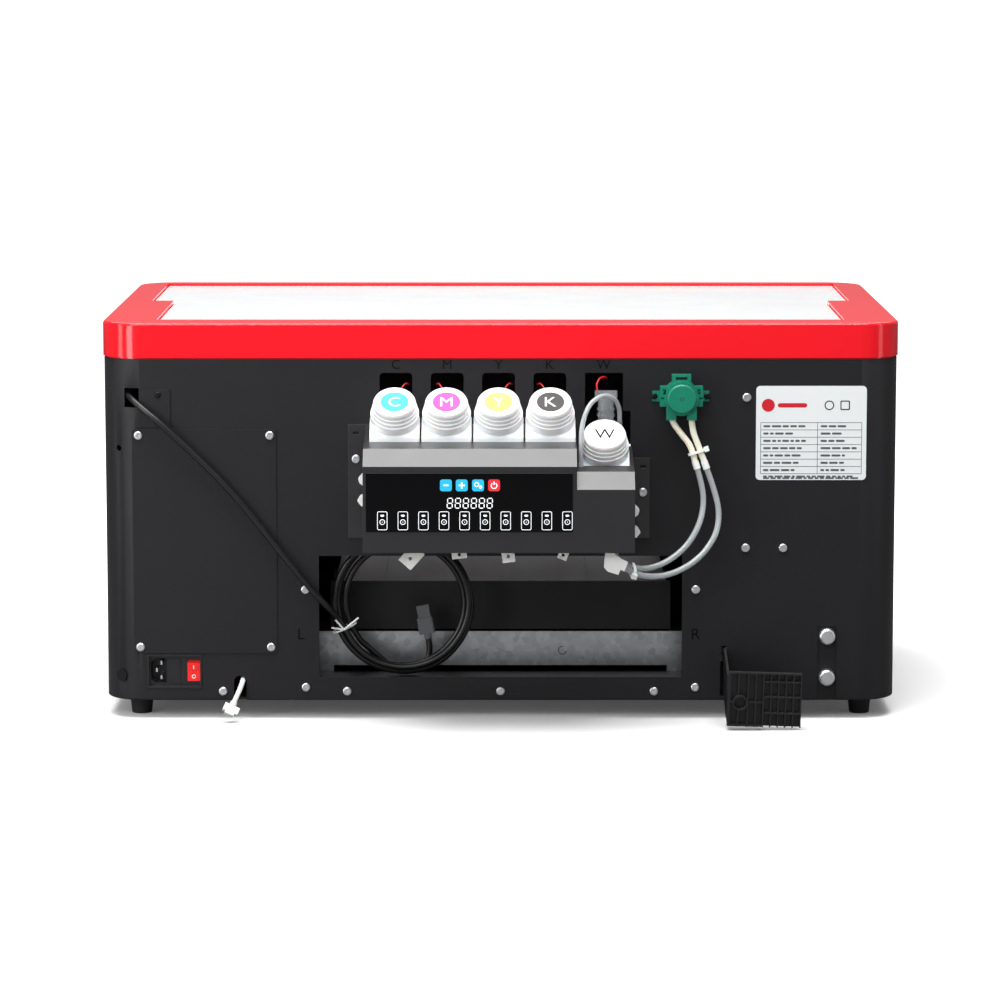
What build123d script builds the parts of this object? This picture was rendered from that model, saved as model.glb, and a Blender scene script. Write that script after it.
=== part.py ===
from build123d import *
import math
import os

# Flatbed UV printer for rigid sheets, seen and used from its rear service side.
# Millimetres. +X is right as seen from behind, +Y points from the rear panel to the front, +Z is up.
# The origin is the middle of the footprint, on the surface that the feet stand on.
# "reach" is a distance straight out from the outer face of the rear panel.

# ---- overall sizes ----
BODY_W = 758.0
BODY_D = 470.0
BODY_H = 330.0
CORNER_R = 36.0
WALL = 2.0
FOOT_H = 18.0
LID_H = 33.0
LID_LIP = 1.0
STATION_REACH = 100.0
BED_REACH = 52.0

Y_REAR = (STATION_REACH - BODY_D - BED_REACH) / 2
Y_FRONT = Y_REAR + BODY_D
Y_MID = (Y_REAR + Y_FRONT) / 2
X_SIDE = BODY_W / 2
Z_BODY = FOOT_H
Z_LID = Z_BODY + BODY_H
Z_TOP = Z_LID + LID_H

# ---- fits ----
RUN = 0.05
GAP = 0.3
SHEET = 1.5

# ---- bed opening in the rear panel, and the tray floor behind it ----
OPENING_W = 347.0
OPENING_Z0 = Z_BODY + 22.5
OPENING_Z1 = Z_BODY + 140.0
TRAY_Z = Z_BODY + 18.0
TRAY_DEPTH = 55.0
PAN_FLANGE = 20.0

# ---- lid and window ----
LID_WALL = 3.0
SHADOW_GAP = 1.5
WINDOW_HALF_REAR = 328.0
WINDOW_HALF_FRONT = 350.0
WINDOW_T = 3.0
WINDOW_SUNK = 2.5
WINDOW_Y0 = Y_REAR + 40.0
WINDOW_STEP_Y = Y_REAR + 245.0
WINDOW_Y1 = Y_FRONT - 20.0
WINDOW_CLEAR = 1.0
WINDOW_REAR_CLEAR = 3.5
LEDGE_W = 8.0
LEDGE_T = 2.5
WINDOW_SHRINK = (BODY_W - 758.0) / 2
PIN_R = 2.0
PIN_Y = WINDOW_Y0 + 8.0
PIN_Z = Z_TOP - WINDOW_SUNK - WINDOW_T - 4.5

# ---- ink station ----
STATION_Z0 = Z_LID - 172.3
BEVEL = 15.0
SHELF_SLOPE = 9.0
MAIN_FRONT_H = 80.9
WHITE_FRONT_H = 59.4
EAR_W = 17.0
GLASS_T = 1.2

# ---- ink tanks ----
TANK_W = 47.0
TANK_TILT = 37.0
TANK_BACK = 14.0
TANK_REACH = round(TANK_BACK + 10.5 + TANK_W * math.cos(math.radians(TANK_TILT)), 1)
TANK_PITCH = TANK_W + 1.7
TANK_X0 = -99.3
COLOUR_XS = [TANK_X0 + i * TANK_PITCH for i in range(4)]
STATION_X0 = TANK_X0 - TANK_W / 2 - 5.2
STATION_STEP_X = COLOUR_XS[3] + TANK_W / 2 + 0.7
WHITE_X = STATION_STEP_X + TANK_W / 2 + 3.2
STATION_X1 = WHITE_X + TANK_W / 2 + 3.8
STIRRER_REACH = 16.0
TANK_WALL = 1.6
COLOUR_EDGE_Z = STATION_Z0 + 104.7
WHITE_EDGE_Z = COLOUR_EDGE_Z - 30.2
CAP_R = TANK_W / 2 - 0.7
CAP_H = 22.5
NECK_R = CAP_R - 5.3
NECK_H = CAP_H - 8.5

# ---- peristaltic pump ----
PUMP_X = STATION_X1 + 46.0
PUMP_Z = Z_LID - 36.4
PUMP_LOOP_R = 9.7
SILICONE_R = 2.9
PUMP_CAVITY_R = 13.4
PUMP_BODY_R = 16.5
PUMP_BASE_T = 12.0
PUMP_CHAMBER_T = 12.0
PUMP_CAP_R = 13.8
PUMP_CAP_T = 6.0
ROTOR_R = 6.2
HOSE_R = 2.8

# ---- clips under the ink box: x, width, height, turn ----
FLOOR_CLIPS = [(-83.0, 15.0, 20.0, 42.0), (-38.7, 14.0, 11.5, -6.0), (7.0, 12.0, 15.0, -8.0), (59.2, 9.0, 12.5, 20.0)]

# ---- power inlet ----
INLET_X = -X_SIDE + 66.5
INLET_Z = Z_BODY + 28.2
INLET_W = 53.0
INLET_H = 33.5
INLET_SUNK = 4.0
INLET_DEPTH = 30.0
ROCKER_X = INLET_X + 18.4
ROCKER_W = 12.0
ROCKER_H = 18.0
ROCKER_TILT = 7.0

# ---- access cover ----
COVER_X = -X_SIDE + 97.0
COVER_Z = Z_BODY + 154.0
COVER_W = 137.0
COVER_H = 216.0
COVER_T = 1.2
COVER_SCREW_INSET = 6.0

# ---- front buttons ----
BUTTON_R = 7.0
BUTTON_Z = Z_BODY + 262.0

# ---- cable plate and USB lead ----
PLATE_X0 = -X_SIDE + 36.0
PLATE_W = 29.0
PLATE_Z = Z_LID - 48.0
PLATE_H = 36.0
LEAD_R = 3.0
HANK_X = -94.0
HANK_Y = Y_REAR + 24.0
HANK_R = 61.0
HANK_SECTION_R = 10.5
HANK_Z = TRAY_Z + HANK_R + HANK_SECTION_R + 1.0
TIE_ANGLE = 203.0

# ---- gantry, carriage and drive ----
GANTRY_X = X_SIDE - 85.0
GANTRY_HALF_D = 60.0
GANTRY_T = 4.0
GANTRY_TOP = Z_BODY + 222.0
RAIL_Z = Z_BODY + 197.0
RAIL_R = 8.0
PARK_X = GANTRY_X - 69.0
CARRIAGE_W = 90.0
HEAD_BOTTOM = Z_BODY + 135.0
PULLEY_R = 8.0
PULLEY_X = GANTRY_X - 14.0
BELT_Y = Y_MID + 50.0
BELT_W = 6.0

# ---- print bed ----
BED_L = 460.0
BED_W = 340.0
BED_Y0 = Y_FRONT + BED_REACH - BED_L
BED_Y1 = BED_Y0 + BED_L
BED_YC = (BED_Y0 + BED_Y1) / 2
BED_TOP = Z_BODY + 104.0
BED_T = 8.0
CRADLE_Z = Z_BODY + 59.0
GUIDE_X = 120.0
GUIDE_Z = Z_BODY + 42.0
GUIDE_R = 6.0
SCREW_X = 60.0
SCREW_Z = Z_BODY + 38.0
FEED_R = 4.0
LIFT_R = 5.0
POST_R = 4.0
BEAM_Y = Y_REAR + 60.0
BEAM_Z0 = Z_BODY + 23.6
BEAM_Z1 = Z_BODY + 57.0
FRONT_BEAM_Y = Y_FRONT - 15.0

# ---- screws in the rear panel: across, up ----
SCREW_HEAD_R = 4.2
SCREW_HEAD_H = 2.2
SHANK_R = 2.0
SHANK_L = 1.9
LOCK_X = X_SIDE - 66.5
LOCK_ZS = [Z_BODY + 22.6, Z_BODY + 62.5]
LOCK_R = 8.0
SLOT_X = X_SIDE - 165.5
SLOT_HALF = 3.2
TRAY_COVER_REACH = 62.0


def block(x0, x1, y0, y1, z0, z1):
    """A box between two opposite corners."""
    return Pos((x0 + x1) / 2, (y0 + y1) / 2, (z0 + z1) / 2) * Box(x1 - x0, y1 - y0, z1 - z0)


def out(reach):
    """The Y of a point that lies reach millimetres out from the rear panel."""
    return Y_REAR - reach


def rod(start, end, radius):
    """A round bar from one point to another."""
    begin, finish = Vector(*start), Vector(*end)
    along = finish - begin
    return extrude(Plane(origin=begin, z_dir=along) * Circle(radius), along.length)


def body_prism(inset, z0, z1, grow=0.0):
    """The rounded footprint of the body, drawn in by inset, between two heights."""
    width = BODY_W + 2 * grow - 2 * inset
    depth = BODY_D + 2 * grow - 2 * inset
    outline = RectangleRounded(width, depth, CORNER_R + grow - inset)
    return Pos(0, Y_MID, z0) * extrude(outline, z1 - z0)


def side_prism(points, x0, x1):
    """A prism along X, from (reach, height) corners of its section."""
    face = make_face(Polyline(*[(x0, out(reach), z) for reach, z in points], close=True))
    return extrude(face, x1 - x0, dir=(1, 0, 0))


def route_radii(points):
    """The largest tangent arc that each corner of a route has room for."""
    corners = [Vector(*p) for p in points]
    radii = []
    for before, corner, after in zip(corners, corners[1:], corners[2:]):
        first, second = corner - before, after - corner
        half_turn = math.radians(first.get_angle(second)) / 2
        radii.append(0.45 * min(first.length, second.length) / math.tan(half_turn))
    return radii


def route_path(points):
    """The route's line: straight runs joined by tangent arcs."""
    return FilletPolyline(*points, radius=route_radii(points))


def tube(points, radius):
    """A round tube along a route."""
    path = route_path(points)
    return sweep(Plane(origin=path @ 0, z_dir=path % 0) * Circle(radius), path=path)


def hose(points, radius, name):
    """A tube that reports its bends, its length, and its volume over its section times its length."""
    solid, length = tube(points, radius), route_path(points).length
    ratio = solid.volume / (math.pi * radius**2 * length)
    radii = [round(r, 1) for r in route_radii(points)]
    print(name, "radii", radii, "length", round(length, 1), "ratio", round(ratio, 4))
    return solid


def beyond(start, end, distance):
    """The point that lies a distance past end, on the line from start to end."""
    begin, finish = Vector(*start), Vector(*end)
    return tuple(finish + (finish - begin).normalized() * distance)


def reach_points(points):
    """Route points given as (x, reach, z), turned into the part's own frame."""
    return [(x, out(reach), z) for x, reach, z in points]


# ---------------------------------------------------------------- enclosure


def screw_seats():
    """Every silver pan-head screw on the rear: x, z and the reach of the face it sits on."""
    half_w = COVER_W / 2 - COVER_SCREW_INSET
    half_h = COVER_H / 2 - COVER_SCREW_INSET
    seats = [(COVER_X + i * half_w, COVER_Z + j * half_h, COVER_T) for i in (-1, 1) for j in (-1, 1)]
    seats += [(i * 186.5, z, 0) for i in (-1, 1) for z in (Z_BODY + 12.8, Z_BODY + 107.5)]
    seats += [(x, Z_BODY + 8.9, 0) for x in (-X_SIDE + 113.0, -147.0, 0, 147.0)]
    seats += [(X_SIDE - 145.2, Z_BODY + 147.8, 0), (X_SIDE - 109.5, Z_BODY + 147.8, 0)]
    seats += [(X_SIDE - 145.2, Z_LID - 37.8, 0)]
    seats += [(STATION_X0 - 9.5, STATION_Z0 + 75.8, SHEET)]
    seats += [(STATION_X1 + 10.5, STATION_Z0 + 43.9, SHEET)]
    return seats


def screw_holes():
    """Clearance holes for the screws' shanks."""
    radius = SHANK_R + 0.15
    holes = [rod((x, out(r + 0.5), z), (x, out(r - SHANK_L - 0.2), z), radius) for x, z, r in screw_seats()]
    return Compound(children=holes)


def make_panel_screws():
    """Pan-head cross-recess screws, and the two large domed lock screws."""
    screws = []
    for x, z, reach in screw_seats():
        head = rod((x, out(reach), z), (x, out(reach + SCREW_HEAD_H), z), SCREW_HEAD_R)
        head = fillet(head.edges().group_by(Axis.Y)[0], 1.4)
        cross = block(x - 2.2, x + 2.2, out(reach + 3), out(reach + 1.2), z - 0.45, z + 0.45)
        cross += block(x - 0.45, x + 0.45, out(reach + 3), out(reach + 1.2), z - 2.2, z + 2.2)
        screws.append(head - cross + rod((x, out(reach), z), (x, out(reach - SHANK_L), z), SHANK_R))
    for z in LOCK_ZS:
        dome = rod((LOCK_X, out(-WALL), z), (LOCK_X, out(6.5), z), LOCK_R)
        screws.append(fillet(dome.edges().group_by(Axis.Y)[0], 3.2))
    for x in (-145.0, 148.0):
        screws.append(rod((x, Y_REAR + 12, TRAY_Z), (x, Y_REAR + 12, TRAY_Z + 1.6), 3.0))
    return screws


def panel_cut(x, z, half_w, half_h):
    """A rectangular hole through the rear panel."""
    return block(x - half_w, x + half_w, out(1), Y_REAR + WALL + 1, z - half_h, z + half_h)


def window_cut(x, half, z_low, radius):
    """A round-cornered lead window through the rear panel, behind an ink tank."""
    height = Z_LID - 14.4 - z_low
    outline = RectangleRounded(2 * half, height, radius)
    plane = Plane(origin=(x, out(5), z_low + height / 2), x_dir=(1, 0, 0), z_dir=(0, 1, 0))
    return extrude(plane * outline, 5 + WALL + 1)


def corner_point(angle, radial):
    """A point on the rear left corner's round, turned angle degrees from straight back."""
    a = math.radians(angle)
    return (-X_SIDE + CORNER_R - radial * math.sin(a), Y_REAR + CORNER_R - radial * math.cos(a))


def corner_rod(angle, r0, r1, z, radius):
    """A short bar through the rear left corner, along the corner's own normal."""
    return rod((*corner_point(angle, r0), z), (*corner_point(angle, r1), z), radius)


def make_body_shell():
    """The wrap of the rear, the corners and the sides, with every opening of the rear panel."""
    shell = body_prism(0, Z_BODY, Z_LID - SHADOW_GAP)
    shell = fillet(shell.edges().group_by(Axis.Z)[0], 0.9 * WALL)
    shell -= body_prism(WALL, Z_BODY - 1, Z_LID - SHADOW_GAP - SHEET)
    shell -= body_prism(14, Z_LID - 10, Z_LID)
    front_half = X_SIDE - CORNER_R - 4
    top = Z_LID - SHADOW_GAP - SHEET
    shell -= block(-front_half, front_half, Y_FRONT - WALL - 1, Y_FRONT + 1, Z_BODY - 1, top)
    deep = Y_REAR + WALL + 1
    shell -= block(-OPENING_W / 2, OPENING_W / 2, out(1), deep, OPENING_Z0, OPENING_Z1)
    for x in COLOUR_XS:
        shell -= window_cut(x, 15.6, Z_LID - 58, 4)
    shell -= window_cut(WHITE_X + 0.5, 18.0, Z_LID - 95, 0.5)
    shell -= block(WHITE_X, WHITE_X + 25.8, out(1), deep, Z_LID - 95, Z_LID - 50.7)
    shell -= panel_cut(COVER_X, COVER_Z, COVER_W / 2 - 13.5, COVER_H / 2 - 18)
    shell -= panel_cut(INLET_X, INLET_Z, INLET_W / 2, INLET_H / 2)
    shell -= block(PLATE_X0 - 14.5, PLATE_X0 - 0.5, out(1), Y_REAR + 9, PLATE_Z + 0.5, PLATE_Z + 19)
    shell -= drain_slot() + tray_slot()
    shell -= block(LOCK_X - 9, LOCK_X + 9, out(1), deep, Z_BODY - 1, Z_BODY + 72)
    shell -= rod((PUMP_X, out(1), PUMP_Z), (PUMP_X, deep, PUMP_Z), 4.0)
    shell -= corner_rod(35, CORNER_R - 4, CORNER_R + 3, Z_BODY + 243, 3.0)
    shell -= corner_rod(33, CORNER_R - 4, CORNER_R + 3, Z_BODY + 23.6, 4.2)
    return shell - screw_holes()


def drain_slot():
    """Arched notch that the drain tube hangs out of."""
    x = -X_SIDE + 129.5
    notch = block(x - 6, x + 6, out(1), Y_REAR + 5, Z_BODY - 1, Z_BODY + 18)
    return notch + rod((x, out(1), Z_BODY + 18), (x, Y_REAR + 5, Z_BODY + 18), 6.0)


def tray_slot():
    """Upright notch that the waste tray's side arm passes through."""
    return block(SLOT_X - SLOT_HALF, SLOT_X + SLOT_HALF, out(1), Y_REAR + 5, Z_BODY + 4, Z_BODY + 53)


def make_base_pan():
    """Bottom pan with an upturned rim, a raised tray floor and a tab behind the lock screws."""
    pan = body_prism(WALL, Z_BODY, Z_BODY + PAN_FLANGE)
    pan -= body_prism(WALL + SHEET, Z_BODY + WALL, Z_BODY + 99)
    y0 = Y_REAR + WALL + SHEET
    tray = block(-185, 185, y0 - 1, y0 + TRAY_DEPTH, Z_BODY, TRAY_Z)
    tray -= block(-183.5, 183.5, y0, y0 + TRAY_DEPTH - SHEET, Z_BODY + WALL, TRAY_Z - SHEET)
    pan += tray
    pan += block(LOCK_X - 11, LOCK_X + 11, Y_REAR + WALL, y0, Z_BODY + 10, Z_BODY + 76)
    x0, x1 = INLET_X - INLET_W / 2, INLET_X + INLET_W / 2
    pan -= block(x0, x1, Y_REAR, Y_REAR + 9, INLET_Z - INLET_H / 2, INLET_Z + INLET_H / 2)
    return pan - drain_slot() - tray_slot()


def make_front_panel():
    """Flat front plate with the bed mouth, held behind the shell's front edges by its side lips."""
    half = X_SIDE - CORNER_R - 4 - GAP
    top = Z_LID - SHADOW_GAP - SHEET
    panel = block(-half, half, Y_FRONT - WALL, Y_FRONT, Z_BODY, top)
    for side in (-1, 1):
        x = side * (half - 1)
        panel += block(x - 5, x + 5, Y_FRONT - 2 * WALL, Y_FRONT - WALL, Z_BODY + PAN_FLANGE + 2, top)
    mouth = BED_W / 2 + 5
    panel -= block(-mouth, mouth, Y_FRONT - 9, Y_FRONT + 1, Z_BODY + 52, Z_BODY + 190)
    for x in button_xs():
        panel -= rod((x, Y_FRONT + 1, BUTTON_Z), (x, Y_FRONT - 9, BUTTON_Z), BUTTON_R + GAP)
    return panel


def button_xs():
    """Where the two front buttons sit along X."""
    return (-X_SIDE + 99.0, -X_SIDE + 129.0)


def make_button(x):
    """A round push button with a collar behind the front panel."""
    cap = rod((x, Y_FRONT - 8, BUTTON_Z), (x, Y_FRONT + 2.2, BUTTON_Z), BUTTON_R)
    cap = fillet(cap.edges().group_by(Axis.Y)[-1], 1.0)
    return cap + rod((x, Y_FRONT - 8, BUTTON_Z), (x, Y_FRONT - WALL - GAP, BUTTON_Z), BUTTON_R + 2)


def make_access_cover():
    """Flat service cover over the power supply, with rounded corners."""
    plane = Plane(origin=(COVER_X, Y_REAR, COVER_Z), x_dir=(1, 0, 0), z_dir=(0, -1, 0))
    return extrude(plane * RectangleRounded(COVER_W, COVER_H, 2.5), COVER_T) - screw_holes()


def make_feet():
    """Four tapered rubber feet, seated in the pan's underside."""
    feet = []
    for x in (-X_SIDE + 32.0, X_SIDE - 32.0):
        for y in (Y_REAR + 36.0, Y_FRONT - 36.0):
            foot = Pos(x, y, FOOT_H / 2) * Cone(9.5, 11.5, FOOT_H)
            foot = fillet(foot.edges().group_by(Axis.Z)[0], 1.2)
            feet.append(foot - rod((x, y, -1), (x, y, 3), 3.5))
    return feet


def stepped(grow, z0, z1, rear_grow=None):
    """The window's stepped outline: narrow towards the rear, wider past the step."""
    rear = grow if rear_grow is None else rear_grow
    narrow = WINDOW_HALF_REAR + WINDOW_SHRINK + grow
    wide = WINDOW_HALF_FRONT + WINDOW_SHRINK + grow
    shape = block(-narrow, narrow, WINDOW_Y0 - rear, WINDOW_STEP_Y + 5, z0, z1)
    return shape + block(-wide, wide, WINDOW_STEP_Y - grow, WINDOW_Y1 + grow, z0, z1)


def make_lid_frame():
    """Glossy top ring with a sunk seat for the window and two bosses for its hinge pins."""
    lid = body_prism(0, Z_LID, Z_TOP, LID_LIP)
    lid = fillet(lid.edges().group_by(Axis.Z)[-1], 2.6)
    lid -= body_prism(LID_WALL, Z_LID - 1, Z_TOP - LID_WALL, LID_LIP)
    rim = body_prism(LID_WALL - 0.5, Z_LID - SHADOW_GAP, Z_TOP - LID_WALL, LID_LIP)
    lid += rim - body_prism(2 * LID_WALL, Z_LID - 5, Z_TOP, LID_LIP)
    seat_z = Z_TOP - WINDOW_SUNK - WINDOW_T
    lid += stepped(5, seat_z - LEDGE_T, Z_TOP - LID_WALL + 0.5, WINDOW_REAR_CLEAR + 4)
    for side in (-1, 1):
        x = side * (WINDOW_HALF_REAR + WINDOW_SHRINK + 9)
        lid += block(x - 7, x + 7, PIN_Y - 7, PIN_Y + 7, PIN_Z - 6, Z_TOP - 1)
        lid -= rod((x - 6 * side - 3 * side, PIN_Y, PIN_Z), (x + 5 * side, PIN_Y, PIN_Z), PIN_R + RUN)
    lid -= stepped(-LEDGE_W, seat_z - 20, Z_TOP + 1)
    lid -= stepped(WINDOW_CLEAR, seat_z, Z_TOP + 1, WINDOW_REAR_CLEAR)
    free = WINDOW_HALF_REAR + WINDOW_SHRINK + WINDOW_CLEAR
    return lid - block(-free, free, WINDOW_Y0 - WINDOW_REAR_CLEAR, WINDOW_Y0 + 20, seat_z - 20, Z_TOP + 1)


def make_window_panel():
    """Milky acrylic window that lies in the lid's sunk seat."""
    seat_z = Z_TOP - WINDOW_SUNK - WINDOW_T
    return stepped(0, seat_z, seat_z + WINDOW_T)


def make_window_hinges():
    """Two blocks glued under the window's rear edge, each with its hinge pin."""
    hinges = []
    for side in (-1, 1):
        inner = side * (WINDOW_HALF_REAR + WINDOW_SHRINK - 28)
        outer = side * (WINDOW_HALF_REAR + WINDOW_SHRINK - 9)
        low, high = min(inner, outer), max(inner, outer)
        foot = block(low, high, PIN_Y - 6, PIN_Y + 6, PIN_Z - 4, Z_TOP - WINDOW_SUNK - WINDOW_T)
        tip = side * (WINDOW_HALF_REAR + WINDOW_SHRINK + 13)
        hinges.append(foot + rod((inner + 3 * side, PIN_Y, PIN_Z), (tip, PIN_Y, PIN_Z), PIN_R))
    return hinges


# ---------------------------------------------------------------- ink station


def station_profile(front_h, inset):
    """Section of the ink box: floor, front, bevel and a shelf that climbs to the rear panel."""
    floor = STATION_Z0 + inset
    face = STATION_REACH - inset
    knee = STATION_Z0 + front_h - 0.4 * inset
    brow = STATION_REACH - BEVEL - 0.4 * inset
    shelf = STATION_Z0 + front_h + BEVEL - inset
    back = shelf + (STATION_REACH - BEVEL) * math.tan(math.radians(SHELF_SLOPE))
    start = 0 if inset == 0 else -1
    return [(start, floor), (face, floor), (face, knee), (brow, shelf), (start, back)]


def tank_slot(x, clear):
    """The hole in the shelf that a tank drops through."""
    half = TANK_W / 2 + GAP
    return block(x - half, x + half, out(TANK_REACH + clear), out(TANK_BACK - 1), STATION_Z0 + 40, Z_LID)


def make_ink_station():
    """Folded sheet box that carries the tanks, with side ears screwed to the rear panel."""
    box = side_prism(station_profile(MAIN_FRONT_H, 0), STATION_X0, STATION_STEP_X)
    box += side_prism(station_profile(WHITE_FRONT_H, 0), STATION_STEP_X, STATION_X1)
    inner = side_prism(station_profile(MAIN_FRONT_H, SHEET), STATION_X0 + SHEET, STATION_STEP_X - SHEET)
    low = station_profile(WHITE_FRONT_H, SHEET)
    inner += side_prism(low, STATION_STEP_X - SHEET - 1, STATION_X1 - SHEET)
    box -= inner
    box += block(STATION_X0 - EAR_W, STATION_X0 + 1, out(SHEET), Y_REAR, STATION_Z0, STATION_Z0 + 109)
    box += block(STATION_X1 - 1, STATION_X1 + EAR_W, out(SHEET), Y_REAR, STATION_Z0, STATION_Z0 + 77)
    for x in COLOUR_XS:
        box -= tank_slot(x, GAP)
    box -= tank_slot(WHITE_X, 3.5)
    hose_x, hose_y = circulation_route()[0][:2]
    box -= rod((hose_x, hose_y, STATION_Z0 + 60), (hose_x, hose_y, STATION_Z0 + 90), 2.5)
    for route in (inner_hose_route(), outer_hose_route()):
        box -= rod(route[-2], beyond(route[-2], route[-1], 4), HOSE_R + GAP)
    slot_z = (STATION_Z0 + 99, STATION_Z0 + 67)
    for x, z in zip((STATION_X0 - 9.5, STATION_X1 + 10.5), slot_z):
        box -= block(x - 3, x + 3, out(3), Y_REAR + 0.1, z, z + 3)
    return box - screw_holes()


def make_control_glass():
    """Black glass of the touch panel, bonded to the ink box's front."""
    z0, z1 = STATION_Z0 + 19.5, STATION_Z0 + 75.3
    front = out(STATION_REACH + GLASS_T)
    return block(STATION_X0 + 2.5, STATION_X0 + 195.5, front, out(STATION_REACH), z0, z1)


def tilt_plane(x, edge_z):
    """The plane of a tank's filler, tipped back from the viewer, with its centre on the filler's axis."""
    a = math.radians(TANK_TILT)
    back = TANK_W / 2 * math.cos(a)
    origin = (x, out(TANK_REACH - back), edge_z + TANK_W / 2 * math.sin(a))
    return Plane(origin=origin, x_dir=(1, 0, 0), z_dir=(0, -math.sin(a), math.cos(a)))


def tank_form(x, edge_z, inset):
    """Outside of a tank, or its inside when inset: a box under an arched, sloping filler face."""
    half = TANK_W / 2 - inset
    z0 = STATION_Z0 + SHEET + inset
    form = block(x - half, x + half, out(TANK_REACH - inset), out(TANK_BACK + inset), z0, edge_z + 60)
    arch = Circle(half) + Pos(0, -150) * Rectangle(2 * half, 300)
    plane = tilt_plane(x, edge_z)
    return form & extrude(plane * (Pos(0, 0, -inset) * arch), -300)


def behind_tank(edge_z, down, off):
    """Reach and height of a point down a tank's rear slope from its ridge, and off the slope."""
    a = math.radians(TANK_TILT)
    reach = TANK_REACH - TANK_W * math.cos(a) - down * math.sin(a) - off * math.cos(a)
    return reach, edge_z + TANK_W * math.sin(a) - down * math.cos(a) + off * math.sin(a)


def make_tank(x, edge_z):
    """A hollow tank with a threaded-size filler neck."""
    plane = tilt_plane(x, edge_z)
    tank = tank_form(x, edge_z, 0) + extrude(plane * Circle(NECK_R), NECK_H)
    tank -= tank_form(x, edge_z, TANK_WALL)
    return tank - extrude(plane * (Pos(0, 0, -5) * Circle(NECK_R - TANK_WALL)), NECK_H + 10)


def make_cap(x, edge_z):
    """A stepped screw cap with a sunk disc for its colour label."""
    steps = [(0, 8.0), (1.0, 8.6), (1.0, 12.0), (1.9, 12.6), (1.9, 16.0), (2.7, 16.6), (2.7, 20.6)]
    steps = [(CAP_R - drawn_in, h) for drawn_in, h in steps]
    rim = CAP_R - 4.0
    bore, deep = NECK_R + GAP, NECK_H + 1.0
    outline = [(bore, GAP), (CAP_R, GAP), *steps, (rim + 0.4, CAP_H)]
    outline += [(rim - 1.2, CAP_H), (rim - 1.2, CAP_H - 0.4)]
    outline += [(0, CAP_H - 0.4), (0, deep), (bore, deep)]
    section = make_face(Polyline(*[(r, 0, h) for r, h in outline], close=True))
    return tilt_plane(x, edge_z).location * revolve(section, Axis.Z)


def make_circulation_pump():
    """Small clear pump that stirs the white ink, standing behind the white tank's cap."""
    x, y, z0 = WHITE_X + 2, out(STIRRER_REACH), WHITE_EDGE_Z + 30
    pump = rod((x, y, z0), (x, y, z0 + 32), 7.5)
    for k in range(3):
        pump += rod((x, y, z0 + 8 + 6 * k), (x, y, z0 + 10 + 6 * k), 8.6)
    pump += block(x - 10.5, x + 10.5, y - 5, y + 5, z0 + 32, z0 + 38)
    pump += rod((x + 13, y, z0), (x + 13, y, z0 + 10), 2.6) + block(x, x + 13, y - 3, y + 3, z0, z0 + 5)
    reach, z = behind_tank(WHITE_EDGE_Z, 6, 0)
    top_reach, top_z = behind_tank(WHITE_EDGE_Z, 6, 7)
    pump += rod((WHITE_X, out(reach), z), (WHITE_X, out(top_reach), top_z), 2.6)
    return pump + rod((WHITE_X, y, top_z - 3), (WHITE_X, y, z0 + 1), 3.4)


def circulation_route():
    """Runs up beside the white tank, over its cap in an arch and down to the pump's outlet."""
    x, z = WHITE_X, WHITE_EDGE_Z
    return reach_points(
        [(x - 22.3, TANK_REACH + 4, z + 1), (x - 22.6, TANK_REACH + 4, z + 20),
         (x - 21.6, TANK_REACH - 2, z + 42), (x - 14, 49, z + 60), (x - 1, 38, z + 67),
         (x + 10.5, 28, z + 62), (x + 14.8, 18.5, z + 51), (x + 15, STIRRER_REACH, z + 40)]
    )


def make_sensor_leads():
    """Thin red leads from the lead windows to the tanks and to the circulation pump."""
    start, turn = behind_tank(COLOUR_EDGE_Z, 7, 0), behind_tank(COLOUR_EDGE_Z, 7, 7)
    top = COLOUR_EDGE_Z + 44
    leads = []
    for k, x in enumerate(COLOUR_XS):
        lean = (9, -8, 10, -9)[k]
        points = [(x, *start), (x, *turn), (x + lean * 0.4, 9.5, top - 7)]
        points += [(x + lean, 3, top), (x + lean * 1.3, -5, top - 2)]
        leads.append(hose(reach_points(points), 0.6, f"sensor_lead_{k}"))
    x, z = WHITE_X + 2, WHITE_EDGE_Z + 68
    points = [(x - 8, STIRRER_REACH, z), (x - 9, 15, z + 6), (x - 6, 9, z + 11.5)]
    points += [(x - 1, 2.5, z + 12), (x + 1, -5, z + 10)]
    leads.append(hose(reach_points(points), 0.8, "sensor_lead_white"))
    return leads


# ---------------------------------------------------------------- pump and hoses


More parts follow.
